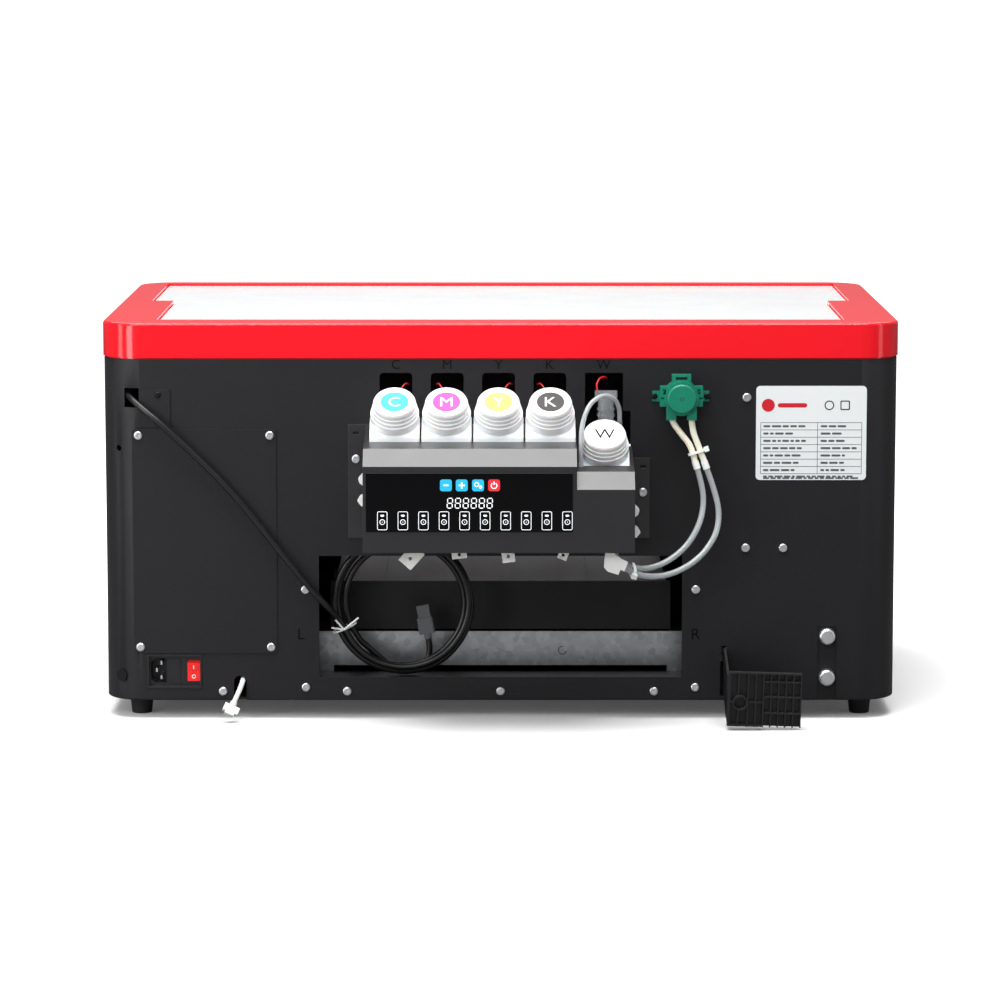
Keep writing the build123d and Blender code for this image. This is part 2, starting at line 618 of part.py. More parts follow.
def make_pump_body():
    """Green pump housing with four clip lugs, two hose ports and a round chamber."""
    reach = PUMP_BASE_T + PUMP_CHAMBER_T
    body = rod((PUMP_X, Y_REAR, PUMP_Z), (PUMP_X, out(reach), PUMP_Z), PUMP_BODY_R)
    body += block(PUMP_X - 27, PUMP_X + 27, out(2), Y_REAR, PUMP_Z - 5, PUMP_Z + 5)
    for side in (-1, 1):
        x = PUMP_X + side * PUMP_LOOP_R
        body += block(x - 4.6, x + 4.6, out(reach), out(PUMP_BASE_T - 4), PUMP_Z - 20.5, PUMP_Z)
        lug = PUMP_X + side * 16.2
        body += block(lug - 4, lug + 4, out(reach - 4), out(8), PUMP_Z + 1, PUMP_Z + 11)
        body += block(lug - 4, lug + 4, out(reach - 4), out(8), PUMP_Z - 8, PUMP_Z - 1)
    body += block(PUMP_X - 9, PUMP_X + 9, out(reach - 4), out(8), PUMP_Z + 12, PUMP_Z + 22)
    body -= block(PUMP_X - 5.5, PUMP_X + 5.5, out(reach), out(4), PUMP_Z + 17.5, PUMP_Z + 20)
    body -= rod((PUMP_X, out(PUMP_BASE_T), PUMP_Z), (PUMP_X, out(reach + 1), PUMP_Z), PUMP_CAVITY_R)
    for side in (-1, 1):
        hole = PUMP_X + side * 25.0
        body -= rod((hole, out(3), PUMP_Z), (hole, Y_REAR + 1, PUMP_Z), 1.7)
        lug = PUMP_X + side * 16.2
        body -= block(lug - 1.5, lug + 1.5, out(reach), out(7), PUMP_Z + 3.5, PUMP_Z + 8.5)
    body -= tube(tube_route(), SILICONE_R + 0.2)
    return body - rod((PUMP_X, Y_REAR + 1, PUMP_Z), (PUMP_X, out(PUMP_BASE_T + 1), PUMP_Z), 1.8)


def make_pump_cap():
    """Round snap cover over the pump's chamber."""
    r0 = PUMP_BASE_T + PUMP_CHAMBER_T
    cap = rod((PUMP_X, out(r0), PUMP_Z), (PUMP_X, out(r0 + PUMP_CAP_T), PUMP_Z), PUMP_CAP_R)
    cap = fillet(cap.edges().group_by(Axis.Y)[0], 1.8)
    ring = rod((PUMP_X, out(r0), PUMP_Z), (PUMP_X, out(r0 + 2), PUMP_Z), PUMP_BODY_R - 0.6)
    cap += ring
    return cap - rod((PUMP_X, out(r0 + 2), PUMP_Z), (PUMP_X, out(r0 + 9), PUMP_Z), 1.6)


def make_pump_rotor():
    """Three-roller rotor on the motor's shaft."""
    r0 = PUMP_BASE_T + 1.5
    r1 = PUMP_BASE_T + PUMP_CHAMBER_T - 1.5
    rotor = rod((PUMP_X, Y_REAR + 12, PUMP_Z), (PUMP_X, out(r1), PUMP_Z), 1.5)
    rotor += rod((PUMP_X, out(r0), PUMP_Z), (PUMP_X, out(r0 + 1.5), PUMP_Z), ROTOR_R - 1)
    rotor += rod((PUMP_X, out(r1 - 1.5), PUMP_Z), (PUMP_X, out(r1), PUMP_Z), ROTOR_R - 1)
    for k in range(3):
        a = math.radians(120 * k + 90)
        x, z = PUMP_X + 4.0 * math.cos(a), PUMP_Z + 4.0 * math.sin(a)
        rotor += rod((x, out(r0), z), (x, out(r1), z), ROTOR_R - 4.0)
    return rotor


def tube_route():
    """The silicone tube: up from the inner joiner, round the pump's chamber and down to the outer joiner."""
    x, z, mid = PUMP_X, PUMP_Z, PUMP_BASE_T + PUMP_CHAMBER_T / 2
    r = PUMP_LOOP_R
    return reach_points(
        [(x + 13, 22, z - 59.5), (x + 8.5, 20.5, z - 44.5), (x - 0.5, 19, z - 33.5),
         (x - r, mid, z - 21), (x - r, mid, z + r), (x + r, mid, z + r), (x + r, mid, z - 21),
         (x + 11.2, 19, z - 32.5),
         (x + 16, 20.5, z - 44.5), (x + 21.5, 22, z - 59.5)]
    )


def inner_hose_route():
    """The inner clear hose, from its joiner round to the ink box's floor."""
    x, z = PUMP_X, PUMP_Z
    return reach_points(
        [(x + 15.25, 22.75, z - 67), (x + 20.65, 24.55, z - 85), (x + 21, 29, z - 103),
         (x + 16.5, 35, z - 119.5), (x + 6.5, 42, z - 136), (x - 7.5, 50, z - 147.5),
         (x - 21, 56, z - 154), (x - 34.6, 61, z - 156.8), (x - 46, 65, z - 155.4),
         (x - 58, 67.5, z - 151), (x - 70.5, 67, z - 142), (x - 77, 66, z - 128)]
    )


def outer_hose_route():
    """The outer clear hose, which runs outside and below the inner one."""
    x, z = PUMP_X, PUMP_Z
    return reach_points(
        [(x + 24.25, 22.75, z - 67), (x + 30.85, 24.55, z - 85), (x + 36.2, 28, z - 107),
         (x + 33.7, 34, z - 126), (x + 23.4, 42, z - 142), (x + 9.5, 50, z - 153.5),
         (x - 7.7, 57, z - 161.5), (x - 24.5, 64, z - 164), (x - 41, 70, z - 161.5),
         (x - 53, 74, z - 155.5), (x - 62.5, 75.5, z - 145), (x - 67.5, 75, z - 130)]
    )


def strap(centre, along, across, half_long, half_short):
    """A zip tie round a pair of hoses, with its square head."""
    plane = Plane(origin=centre, x_dir=across, z_dir=along)
    band = RectangleRounded(2 * half_long + 2, 2 * half_short + 2, half_short + 0.9)
    band -= RectangleRounded(2 * half_long, 2 * half_short, half_short - 0.1)
    ring = extrude(plane * band, 2.6)
    return ring + plane * Pos(half_long + 2.4, 0, 1.3) * Box(4.4, 4.4, 5)


def make_tube_clips():
    """White plastic pieces: hose joiners, zip ties and the clips on the ink box's floor and sides."""
    z = PUMP_Z
    silicone = tube_route()
    pieces = [rod(silicone[0], inner_hose_route()[0], 3.3), rod(silicone[-1], outer_hose_route()[0], 3.3)]
    pieces.append(strap((PUMP_X + 14.1, out(21.05), z - 50), (0.315, -0.094, -0.944), (1, 0, 0), 7.4, 3.4))
    low = (PUMP_X - 46, out(68.2), z - 157)
    pieces.append(strap(low, (-0.92, -0.278, 0.3), (0, -0.918, -0.395), 7.8, 3.7))
    pieces += [make_floor_clip(*clip) for clip in FLOOR_CLIPS]
    pieces.append(make_flow_clamp())
    pieces.append(make_side_hook(-1, STATION_X0, STATION_Z0 + 34))
    pieces.append(make_side_hook(1, STATION_X1, STATION_Z0 + 4))
    return pieces


def make_floor_clip(x, width, height, turn):
    """A small drilled tab that hangs from the ink box's floor, turned a little."""
    tab = Box(width, 3, height) - Pos(0, 0, -2) * Rot(90, 0, 0) * Cylinder(1.6, 9)
    tab = Pos(x, out(84), STATION_Z0 - height / 2 + 4) * Rot(0, turn, 0) * tab
    return tab - block(x - 40, x + 40, out(99), out(60), STATION_Z0, STATION_Z0 + 40)


def make_side_hook(side, edge, low):
    """A bent hook on the ink box's side, for tubing."""
    outline = [(0, 2), (0, 27), (3, 30), (6.5, 26), (5.2, 22), (2.2, 20), (2.2, 10), (5.0, 9)]
    outline += [(7.5, 5), (3.5, 0)]
    corners = [(edge + side * u, out(30), low + v) for u, v in outline]
    return extrude(make_face(Polyline(*corners, close=True)), 16, dir=(0, 1, 0))


def make_flow_clamp():
    """The larger slide clamp that hangs where the pump hoses enter the ink box."""
    x, z = PUMP_X - 61.0, STATION_Z0
    outline = [(-12, 0), (-6, 0), (3, -7), (9, -10), (5.5, -19), (2, -17), (0, -22), (-10, -19)]
    outline += [(-13.5, -15), (-13, -7)]
    face = make_face(Polyline(*[(x + u, out(87), z + v) for u, v in outline], close=True))
    return extrude(face, 3, dir=(0, -1, 0))


# ---------------------------------------------------------------- labels, inlet and leads


def make_rating_label():
    """Blank rating plate."""
    x, z = X_SIDE - 83.7, Z_LID - 71.8
    plane = Plane(origin=(x, Y_REAR, z), x_dir=(1, 0, 0), z_dir=(0, -1, 0))
    return extrude(plane * RectangleRounded(105, 90, 4), 0.5)


def socket_cavity(socket_x, y0):
    """The C14 socket's well, with its two cut corners."""
    cavity = block(socket_x - 7.5, socket_x + 7.5, out(1), y0 + 16, INLET_Z - 12.2, INLET_Z + 12.2)
    for side in (-1, 1):
        corner = Pos(socket_x - 7.5, y0 + 8, INLET_Z + side * 12.2)
        cavity -= corner * Rot(0, 45, 0) * Box(5.6, 40, 5.6)
    return cavity


def make_power_inlet():
    """Inlet module with a C14 socket, a fuse drawer and the rocker's frame, and its three pins."""
    y0 = Y_REAR + INLET_SUNK
    half_w, half_h = INLET_W / 2 - 0.2, INLET_H / 2 - 0.2
    z0, z1 = INLET_Z - half_h, INLET_Z + half_h
    module = block(INLET_X - half_w, INLET_X + half_w, Y_REAR - 0.8, Y_REAR + INLET_DEPTH, z0, z1)
    module -= block(INLET_X - half_w + 2, INLET_X + half_w - 2, out(2), y0, z0 + 2, z1 - 2)
    socket_x = INLET_X - 15.2
    module -= socket_cavity(socket_x, y0)
    half_w, half_h = ROCKER_W / 2 + GAP, ROCKER_H / 2 + 1.2
    x0, x1 = ROCKER_X - half_w, ROCKER_X + half_w
    module -= block(x0, x1, out(1), y0 + 14, INLET_Z - half_h, INLET_Z + half_h)
    module -= rod((ROCKER_X - 9, y0 + 5, INLET_Z), (ROCKER_X + 9, y0 + 5, INLET_Z), 1.0 + RUN)
    module += block(INLET_X - 5.6, INLET_X + 5.6, y0 - 0.8, y0, INLET_Z - 11.5, INLET_Z + 11.5)
    for dx, dz in ((2.2, 7), (-2.2, 0), (2.2, -7)):
        x, z = socket_x + dx, INLET_Z + dz
        module += block(x - 1, x + 1, y0 + 3, y0 + 16, z - 2, z + 2)
    return module


def make_rocker():
    """Lit rocker that tips on its cross pin; it rests tipped to one side."""
    y0 = Y_REAR + INLET_SUNK
    keep = [(-2.4, 0.0), (-3.4, -ROCKER_H / 2), (6, -ROCKER_H / 2), (8.5, 0), (6, ROCKER_H / 2), (-3.4, ROCKER_H / 2)]
    face = make_face(Polyline(*[(0, d, z) for d, z in keep], close=True))
    rocker = extrude(face, ROCKER_W / 2, both=True, dir=(1, 0, 0))
    rocker += rod((-ROCKER_W / 2 - 1.5, 4.2, 0), (ROCKER_W / 2 + 1.5, 4.2, 0), 1.0)
    tipped = Rot(ROCKER_TILT, 0, 0) * (Pos(0, -4.2, 0) * rocker)
    return Pos(ROCKER_X, y0 + 5, INLET_Z) * tipped


def make_cable_plate():
    """Small raised plate over the hole that the USB lead leaves by."""
    z0, z1 = PLATE_Z - PLATE_H / 2, PLATE_Z + PLATE_H / 2
    plate = block(PLATE_X0, PLATE_X0 + PLATE_W, out(SHEET), Y_REAR, z0, z1)
    plate = fillet(plate.edges().filter_by(Axis.Y), 1.5)
    for z in (PLATE_Z - 12.8, PLATE_Z + 12.8):
        plate -= rod((PLATE_X0 + 17.5, out(4), z), (PLATE_X0 + 17.5, Y_REAR + 1, z), 1.7)
    return plate


def make_black_fasteners():
    """Black screws of the cable plate and the pump, and the push-in corner plug."""
    seats = [(PLATE_X0 + 17.5, PLATE_Z + dz, SHEET) for dz in (-12.8, 12.8)]
    seats += [(PUMP_X + side * 25.0, PUMP_Z, 2.0) for side in (-1, 1)]
    pieces = []
    for x, z, reach in seats:
        head = rod((x, out(reach), z), (x, out(reach + 1.8), z), 3.0)
        head = fillet(head.edges().group_by(Axis.Y)[0], 1.2)
        pieces.append(head + rod((x, Y_REAR, z), (x, out(reach), z), 1.5))
    plug = corner_rod(33, CORNER_R, CORNER_R + 1.6, Z_BODY + 23.6, 5.8)
    plug += corner_rod(33, CORNER_R - WALL, CORNER_R + 0.5, Z_BODY + 23.6, 4.0)
    return pieces + [plug]


def lead_route():
    """The USB lead's free run, from its slot beside the cable plate down into its hank."""
    x, z = PLATE_X0, PLATE_Z
    return reach_points(
        [(x - 13, -9, z + 13), (x - 7, 1, z + 8.5), (x + 3, 7.5, z + 0.5),
         (x + 17, 10, z - 10.5), (x + 35, 9.2, z - 27.5), (x + 58, 7.6, z - 49.5),
         (x + 85, 6.8, z - 77), (x + 108, 6.6, z - 104.5), (x + 131, 6.8, z - 134.5),
         (x + 154, 7.2, z - 163), (x + 169, 5.6, z - 181.5), (x + 180, -2.4, z - 194),
         (x + 188.5, -14.5, z - 204.5)]
    )


def make_hank():
    """Outer shape of the wound part of the USB lead, standing on the tray floor."""
    ring = Plane(origin=(HANK_X, HANK_Y, HANK_Z), z_dir=(0, -1, 0))
    return ring.location * Torus(HANK_R, HANK_SECTION_R)


def tail_route():
    """The USB lead's last run: out of the hank's back, under it and up into the plug."""
    points = [(-36, 5, -41.4), (-24.6, 9.5, -53.1), (-7.7, 13.6, -67.2), (3.5, 14, -69.6)]
    points += [(14.6, 14, -66.4), (22.8, 14, -58.5), (26.3, 14, -47.6), (24.3, 14, -36.6)]
    return [(HANK_X + x, HANK_Y + y, HANK_Z + z) for x, y, z in points]


def make_usb_lead():
    """The USB lead outside its hank: the free run and the tail with the plug."""
    return [hose(lead_route(), LEAD_R, "usb_lead"), hose(tail_route(), LEAD_R, "usb_lead_tail")]


def make_usb_plug():
    """USB plug in its clear cap, standing up behind the hank."""
    last, end = (Vector(*p) for p in tail_route()[-2:])
    base = Plane(origin=end, x_dir=(1, 0, 0.18), z_dir=end - last)
    plug = extrude(base * Pos(0, 0, 5) * RectangleRounded(15.5, 8, 2), 16)
    plug += base * Pos(0, 0, 27) * Box(12, 4.5, 12)
    return plug + base * Pos(0, 0, 3) * Cylinder(3.6, 6)


def make_twist_tie():
    """White twist tie round the hank, with its two bent tails."""
    a = math.radians(TIE_ANGLE)
    x, z = HANK_X + HANK_R * math.cos(a), HANK_Z + HANK_R * math.sin(a)
    loop = Plane(origin=(x, HANK_Y, z), x_dir=(0, 1, 0), z_dir=(-math.sin(a), 0, math.cos(a)))
    tie = loop.location * Torus(HANK_SECTION_R + 1.4, 0.9)
    y = HANK_Y - HANK_SECTION_R - 1.4
    tie += rod((x, y, z), (x + 14, y - 3, z + 12), 0.9)
    tie += rod((x, y, z), (x - 8, y - 4, z + 10), 0.9)
    return tie + rod((x, y, z), (x - 12, y - 2, z + 2), 0.9)


def drain_route():
    """The drain tube, which hangs out of its notch and ends in its clamp."""
    x, z = -X_SIDE + 129.5, Z_BODY
    return reach_points(
        [(x + 3, -12, z + 21), (x + 2.8, -2, z + 20.2), (x + 1.5, 6, z + 15.5),
         (x - 1.5, 12, z + 8.5), (x - 5, 17, z + 1)]
    )


def make_drain_clamp():
    """White pinch clamp on the drain tube's end."""
    last, end = (Vector(*p) for p in drain_route()[-2:])
    plane = Plane(origin=end, x_dir=(0.9, 0, -0.4), z_dir=end - last)
    clamp = plane * Pos(0, 0, 3.5) * Cylinder(3.4, 7)
    clamp += plane * Pos(0, 0, 7.5) * Box(15, 6, 7)
    return clamp + plane * Pos(0, 0, 9) * Box(9, 6, 9)


def tray_plane():
    """The tray cover's outer face: lower left corner, leaning a little from upright."""
    corner = (SLOT_X + 0.4, out(TRAY_COVER_REACH), Z_BODY - 13.2)
    return Plane(origin=corner, x_dir=(1, 0, -0.03), z_dir=(0, -1, 0))


def tray_cell(u0, u1, v0, v1, d0, d1):
    """A box in the tray cover's own frame: across, up and outwards."""
    middle = Pos((u0 + u1) / 2, (v0 + v1) / 2, (d0 + d1) / 2)
    return tray_plane() * middle * Box(u1 - u0, v1 - v0, d1 - d0)


def make_tray_arm():
    """Outline of the cover's side arm, which hooks in behind the rear panel."""
    outer, z = TRAY_COVER_REACH - 0.5, Z_BODY
    arm = [(-22, z + 4 + GAP), (-22, z + 50), (0, z + 50), (outer - 4, z + 37), (outer, z + 36)]
    arm += [(outer, z - 13), (30, z - 8), (4, z + 4 + GAP)]
    side = make_face(Polyline(*[(SLOT_X + 0.4, out(r), z) for r, z in arm], close=True))
    return extrude(side, 2.2, dir=(1, 0, 0))


def make_waste_tray_cover():
    """Ribbed moulded cover on a side arm that hooks into its slot in the rear panel."""
    width, height, depth, rib, left = 69.5, 51.5, 9.0, 1.3, 34.0
    cover = tray_cell(0, width, 0, height, -depth, -depth + 1.5)
    cover += tray_cell(0, 2.2, 0, height, -depth, 0)
    for u in (9.0, 18.0, 25.5, left - rib):
        cover += tray_cell(u, u + rib, 0, height, -depth, 0)
    for k in range(1, 6):
        u = left + k * (width - left) / 5 - rib
        cover += tray_cell(u, u + rib, 0, height, -depth, -1.0)
    for v in (0, 22.5, height - rib):
        cover += tray_cell(0, left, v, v + rib, -depth, -0.6)
    for v in (12.5, 28.0, 42.5, height - rib):
        cover += tray_cell(left, width, v, v + rib, -depth, -0.6)
    cover += tray_plane() * Pos(11.5, 22.5, -depth / 2 + 0.6) * Cylinder(7.2, depth + 1.2)
    cover -= tray_plane() * Pos(11.5, 22.5, 0.5) * Cylinder(5.8, depth * 2 - 1.6)
    return cover + make_tray_arm()


# ---------------------------------------------------------------- mechanism


def make_cross_beams():
    """Galvanised angle beams, rear and front, that carry the bed's guides."""
    beams = []
    for y, inward in ((BEAM_Y, 1), (FRONT_BEAM_Y, -1)):
        edge = sorted((y, y + 3 * inward))
        flange = sorted((y, y + 24 * inward))
        beam = block(-178, 178, edge[0], edge[1], BEAM_Z0, BEAM_Z1)
        beam += block(-178, 178, flange[0], flange[1], BEAM_Z0, BEAM_Z0 + 2)
        for side in (-1, 1):
            x = sorted((side * 162, side * 178))
            beam += block(x[0], x[1], flange[0], flange[1], Z_BODY + WALL, BEAM_Z0)
        beam -= rod((SCREW_X, y - 4, SCREW_Z), (SCREW_X, y + 4, SCREW_Z), FEED_R + RUN)
        beams.append(beam)
    return beams


def make_gantry():
    """Steel gantry: two side plates, a rear web, and brackets for the motor and the idler."""
    y0, y1 = Y_MID - GANTRY_HALF_D, Y_MID + GANTRY_HALF_D
    gantry = block(-GANTRY_X, GANTRY_X, y0, y0 + GANTRY_T, RAIL_Z - 25, GANTRY_TOP)
    for side in (-1, 1):
        x = sorted((side * (GANTRY_X - GANTRY_T / 2), side * (GANTRY_X + GANTRY_T / 2)))
        gantry += block(x[0], x[1], y0, y1, Z_BODY + WALL, GANTRY_TOP)
        foot = sorted((side * GANTRY_X, side * (GANTRY_X + 22)))
        gantry += block(foot[0], foot[1], y0, y1, Z_BODY + WALL, Z_BODY + WALL + 3)
        bracket = sorted((side * (GANTRY_X - 36), side * (GANTRY_X + 2)))
        gantry += block(bracket[0], bracket[1], y1, y1 + 2, RAIL_Z - 22, RAIL_Z + 22)
    gantry -= rod((PULLEY_X, y1 - 5, RAIL_Z), (PULLEY_X, y1 + 5, RAIL_Z), 3.5)
    return gantry + rod((-PULLEY_X, BELT_Y - 1, RAIL_Z), (-PULLEY_X, y1 + 1, RAIL_Z), 2.5)


def make_guide_rails():
    """Ground steel bars: the carriage's rail and the two bed guides."""
    inner = GANTRY_X - GANTRY_T / 2
    rails = [rod((-inner, Y_MID, RAIL_Z), (inner, Y_MID, RAIL_Z), RAIL_R)]
    for x in (-GUIDE_X, GUIDE_X):
        rails.append(rod((x, BEAM_Y + 3, GUIDE_Z), (x, FRONT_BEAM_Y - 3, GUIDE_Z), GUIDE_R))
    return rails


def make_head_carriage():
    """Carriage body that runs on the rail and clamps to the belt."""
    half = CARRIAGE_W / 2
    body = block(PARK_X - half, PARK_X + half, Y_MID - 45, Y_MID + 45, HEAD_BOTTOM + 25, RAIL_Z + 30)
    body = fillet(body.edges().filter_by(Axis.Z), 6)
    body -= rod((PARK_X - half - 1, Y_MID, RAIL_Z), (PARK_X + half + 1, Y_MID, RAIL_Z), RAIL_R + RUN)
    top = RAIL_Z + PULLEY_R + 1.05
    clamp = block(PARK_X - 12, PARK_X + 12, Y_MID + 44, BELT_Y + BELT_W, top, top + 8)
    return body + clamp


def make_print_head():
    """Print head with its nozzle plate, under the carriage."""
    head = block(PARK_X - 36, PARK_X + 20, Y_MID - 32, Y_MID + 32, HEAD_BOTTOM + 4, HEAD_BOTTOM + 25)
    return head + block(PARK_X - 30, PARK_X + 14, Y_MID - 26, Y_MID + 26, HEAD_BOTTOM, HEAD_BOTTOM + 4)


def make_uv_lamp():
    """Finned UV lamp on the carriage's side."""
    x0 = PARK_X - CARRIAGE_W / 2 - 24
    x1 = PARK_X - CARRIAGE_W / 2
    lamp = block(x0, x1, Y_MID - 30, Y_MID + 30, HEAD_BOTTOM + 4, HEAD_BOTTOM + 44)
    for k in range(6):
        y = Y_MID - 25 + 9 * k
        lamp -= block(x0 - 1, x1 - 6, y, y + 4, HEAD_BOTTOM + 20, HEAD_BOTTOM + 45)
    return lamp - rod((x0 - 1, Y_MID, RAIL_Z), (x1 + 1, Y_MID, RAIL_Z), RAIL_R + 1)


def make_drive_belt():
    """Closed drive belt round the two pulleys."""
    def loop(radius):
        outline = Rectangle(2 * PULLEY_X, 2 * radius)
        outline += Pos(PULLEY_X, 0) * Circle(radius) + Pos(-PULLEY_X, 0) * Circle(radius)
        plane = Plane(origin=(0, BELT_Y, RAIL_Z), x_dir=(1, 0, 0), z_dir=(0, 1, 0))
        return extrude(plane * outline, BELT_W)
    return loop(PULLEY_R + 1.0) - loop(PULLEY_R + 0.1)


def make_pulley(side):
    """A flanged pulley; the driven one carries the motor's shaft, the idler turns on its pin."""
    x = side * PULLEY_X
    wheel = rod((x, BELT_Y - 0.3, RAIL_Z), (x, BELT_Y + BELT_W + 0.3, RAIL_Z), PULLEY_R)
    for y in (BELT_Y - 1.8, BELT_Y + BELT_W + 0.3):
        wheel += rod((x, y, RAIL_Z), (x, y + 1.5, RAIL_Z), PULLEY_R + 2.5)
    if side > 0:
        return wheel + rod((x, BELT_Y, RAIL_Z), (x, Y_MID + GANTRY_HALF_D + 24, RAIL_Z), 2.5)
    return wheel - rod((x, BELT_Y - 3, RAIL_Z), (x, BELT_Y + BELT_W + 3, RAIL_Z), 2.5 + RUN)


def make_drive_motors():
    """The carriage motor, the bed feed motor and the pump's gear motor."""
    y = Y_MID + GANTRY_HALF_D + 2
    carriage = block(PULLEY_X - 21, PULLEY_X + 21, y, y + 38, RAIL_Z - 21, RAIL_Z + 21)
    carriage = fillet(carriage.edges().filter_by(Axis.Y), 4)
    carriage -= rod((PULLEY_X, y - 1, RAIL_Z), (PULLEY_X, y + 26, RAIL_Z), 2.5 + RUN)
    end = FRONT_BEAM_Y - 3
    feed = block(SCREW_X - 17.5, SCREW_X + 17.5, end - 34, end, SCREW_Z - 12.4, SCREW_Z + 17.5)
    feed -= rod((SCREW_X, end - 35, SCREW_Z), (SCREW_X, end + 1, SCREW_Z), FEED_R + RUN)
    pump = rod((PUMP_X, Y_REAR + WALL, PUMP_Z), (PUMP_X, Y_REAR + 50, PUMP_Z), 12.5)
    pump -= rod((PUMP_X, Y_REAR, PUMP_Z), (PUMP_X, Y_REAR + 14, PUMP_Z), 1.5 + RUN)
    return [carriage, feed, pump]


def make_feed_screw():
    """Lead screw that drives the bed, held by both beams."""
    return rod((SCREW_X, BEAM_Y, SCREW_Z), (SCREW_X, FRONT_BEAM_Y, SCREW_Z), FEED_R)


def make_bed_cradle():
    """Steel tray under the bed, with its guide bearings, the feed nut and the lift nut."""
    half = BED_W / 2 - 5
    cradle = block(-half, half, BED_Y0, BED_Y1, CRADLE_Z, CRADLE_Z + 3)
    skirt_top = Z_BODY + 106.0
    cradle += block(-half, half, BED_Y0, BED_Y0 + 2, CRADLE_Z, skirt_top)
    cradle += block(-half, half, BED_Y1 - 2, BED_Y1, CRADLE_Z, skirt_top)
    for side in (-1, 1):
        x = sorted((side * half, side * (half - 2)))
        cradle += block(x[0], x[1], BED_Y0, BED_Y1, CRADLE_Z, CRADLE_Z + 30)
        for dy in (-40, 40):
            y, gx = BED_YC + dy, side * GUIDE_X
            cradle += block(gx - 15, gx + 15, y - 15, y + 15, GUIDE_Z - 10, CRADLE_Z)
            cradle -= rod((gx, y - 16, GUIDE_Z), (gx, y + 16, GUIDE_Z), GUIDE_R + RUN)
        for dy in (-50, 50):
            px = side * 90
            cradle -= rod((px, BED_YC + dy, CRADLE_Z - 1), (px, BED_YC + dy, CRADLE_Z + 4), POST_R + 0.1)
    cradle += block(SCREW_X - 12, SCREW_X + 12, BED_YC - 14, BED_YC + 14, SCREW_Z - 10, CRADLE_Z)
    cradle -= rod((SCREW_X, BED_YC - 15, SCREW_Z), (SCREW_X, BED_YC + 15, SCREW_Z), FEED_R + RUN)
    cradle += rod((0, BED_YC, CRADLE_Z - 8), (0, BED_YC, CRADLE_Z + 8), 11)
    return cradle - rod((0, BED_YC, CRADLE_Z - 9), (0, BED_YC, CRADLE_Z + 9), LIFT_R + RUN)


def make_bed_plate():
    """Aluminium bed with shallow grid grooves and four guide posts under it."""
    half, base = BED_W / 2 - 9, BED_TOP - BED_T
    plate = block(-half, half, BED_Y0 + 3, BED_Y1 - 3, base, BED_TOP)
    for k in range(-5, 6):
        plate -= block(k * 28 - 1, k * 28 + 1, BED_Y0, BED_Y1, BED_TOP - 1, BED_TOP + 1)
    plate -= rod((0, BED_YC, base - 1), (0, BED_YC, base + 4), LIFT_R + RUN)
    for side in (-1, 1):
        for dy in (-50, 50):
            plate += rod((side * 90, BED_YC + dy, CRADLE_Z - 30), (side * 90, BED_YC + dy, base + 1), POST_R)
    return plate


def make_lift_screw():
    """Screw that raises the bed; its head turns in the bed's underside."""
    return rod((0, BED_YC, CRADLE_Z - 26), (0, BED_YC, BED_TOP - BED_T + 3.8), LIFT_R)


def make_power_supply():
    """Power supply case with a round fan seat in its inner face."""
    x0, x1 = COVER_X - 60, COVER_X + 40
    y0, y1, z1 = Y_REAR + 15, Y_REAR + 120, Z_BODY + 150
    case = block(x0, x1, y0, y1, Z_BODY + 50, z1)
    for x in (x0, x1 - WALL):
        case += block(x, x + WALL, Y_REAR + 50, y1, Z_BODY + WALL, Z_BODY + 50)
    x, z = (x0 + x1) / 2, Z_BODY + 95
    case -= rod((x, y1 - 12, z), (x, y1 + 1, z), 26)
    for k in range(7):
        case -= block(x0 - 1, x0 + 3, y0 + 14 + 12 * k, y0 + 18 + 12 * k, Z_BODY + 40, Z_BODY + 120)
    return case + rod((x, y1 - 12, z), (x, y1 - 3, z), 2.5)


def make_psu_fan():
    """Seven-blade fan rotor on its pin."""
    x, y1, z = COVER_X - 10, Y_REAR + 120, Z_BODY + 95
    fan = rod((x, y1 - 11, z), (x, y1 - 2, z), 10)
    for k in range(7):
        blade = Pos(16.5, 0, 0) * Rot(30, 0, 0) * Box(15, 1.4, 9)
        fan += Pos(x, y1 - 6.5, z) * Rot(0, 360 / 7 * k, 0) * blade
    return fan - rod((x, y1 - 13, z), (x, y1 - 3 + RUN, z), 2.5 + RUN)


def make_circuit_boards():
    """Main board behind the rear panel's right side, and the touch panel's board in the ink box."""
    x0, x1, z0, z1 = X_SIDE - 155, X_SIDE - 40, Z_BODY + 92, Z_BODY + 275
    y = Y_REAR + 12
    main = block(x0, x1, y, y + 1.6, z0, z1)
    for x in (x0 + 8, x1 - 8):
        for z in (z0 + 8, z1 - 8):
            main += rod((x, Y_REAR + WALL, z), (x, y, z), 3)
    for x, z, w, h, t in ((30, 60, 28, 28, 3), (75, 120, 22, 22, 3), (60, 30, 60, 12, 9), (50, 160, 70, 10, 9)):
        chip = Pos(x0 + x, y + 1.6 + t / 2, z0 + z) * Box(w, t, h)
        main += chip
    front = STATION_REACH - SHEET
    z0, z1 = STATION_Z0 + 22, STATION_Z0 + 72
    touch = block(STATION_X0 + 8, STATION_X0 + 188, out(front - 5), out(front - 6.6), z0, z1)
    for x in (STATION_X0 + 14, STATION_X0 + 182):
        for z in (STATION_Z0 + 28, STATION_Z0 + 66):
            touch += rod((x, out(front), z), (x, out(front - 5), z), 2.5)
    return [main, touch]


def make_capping_station():
    """Parking cap and wiper tower under the parked head."""
    top = HEAD_BOTTOM - 1.0
    tower = block(PARK_X - 38, PARK_X + 22, Y_MID - 32, Y_MID + 32, Z_BODY + WALL, top - 8)
    cup = block(PARK_X - 30, PARK_X + 14, Y_MID - 24, Y_MID + 24, top - 8, top)
    return tower + cup - block(PARK_X - 27, PARK_X + 11, Y_MID - 21, Y_MID + 21, top - 5, top + 1)


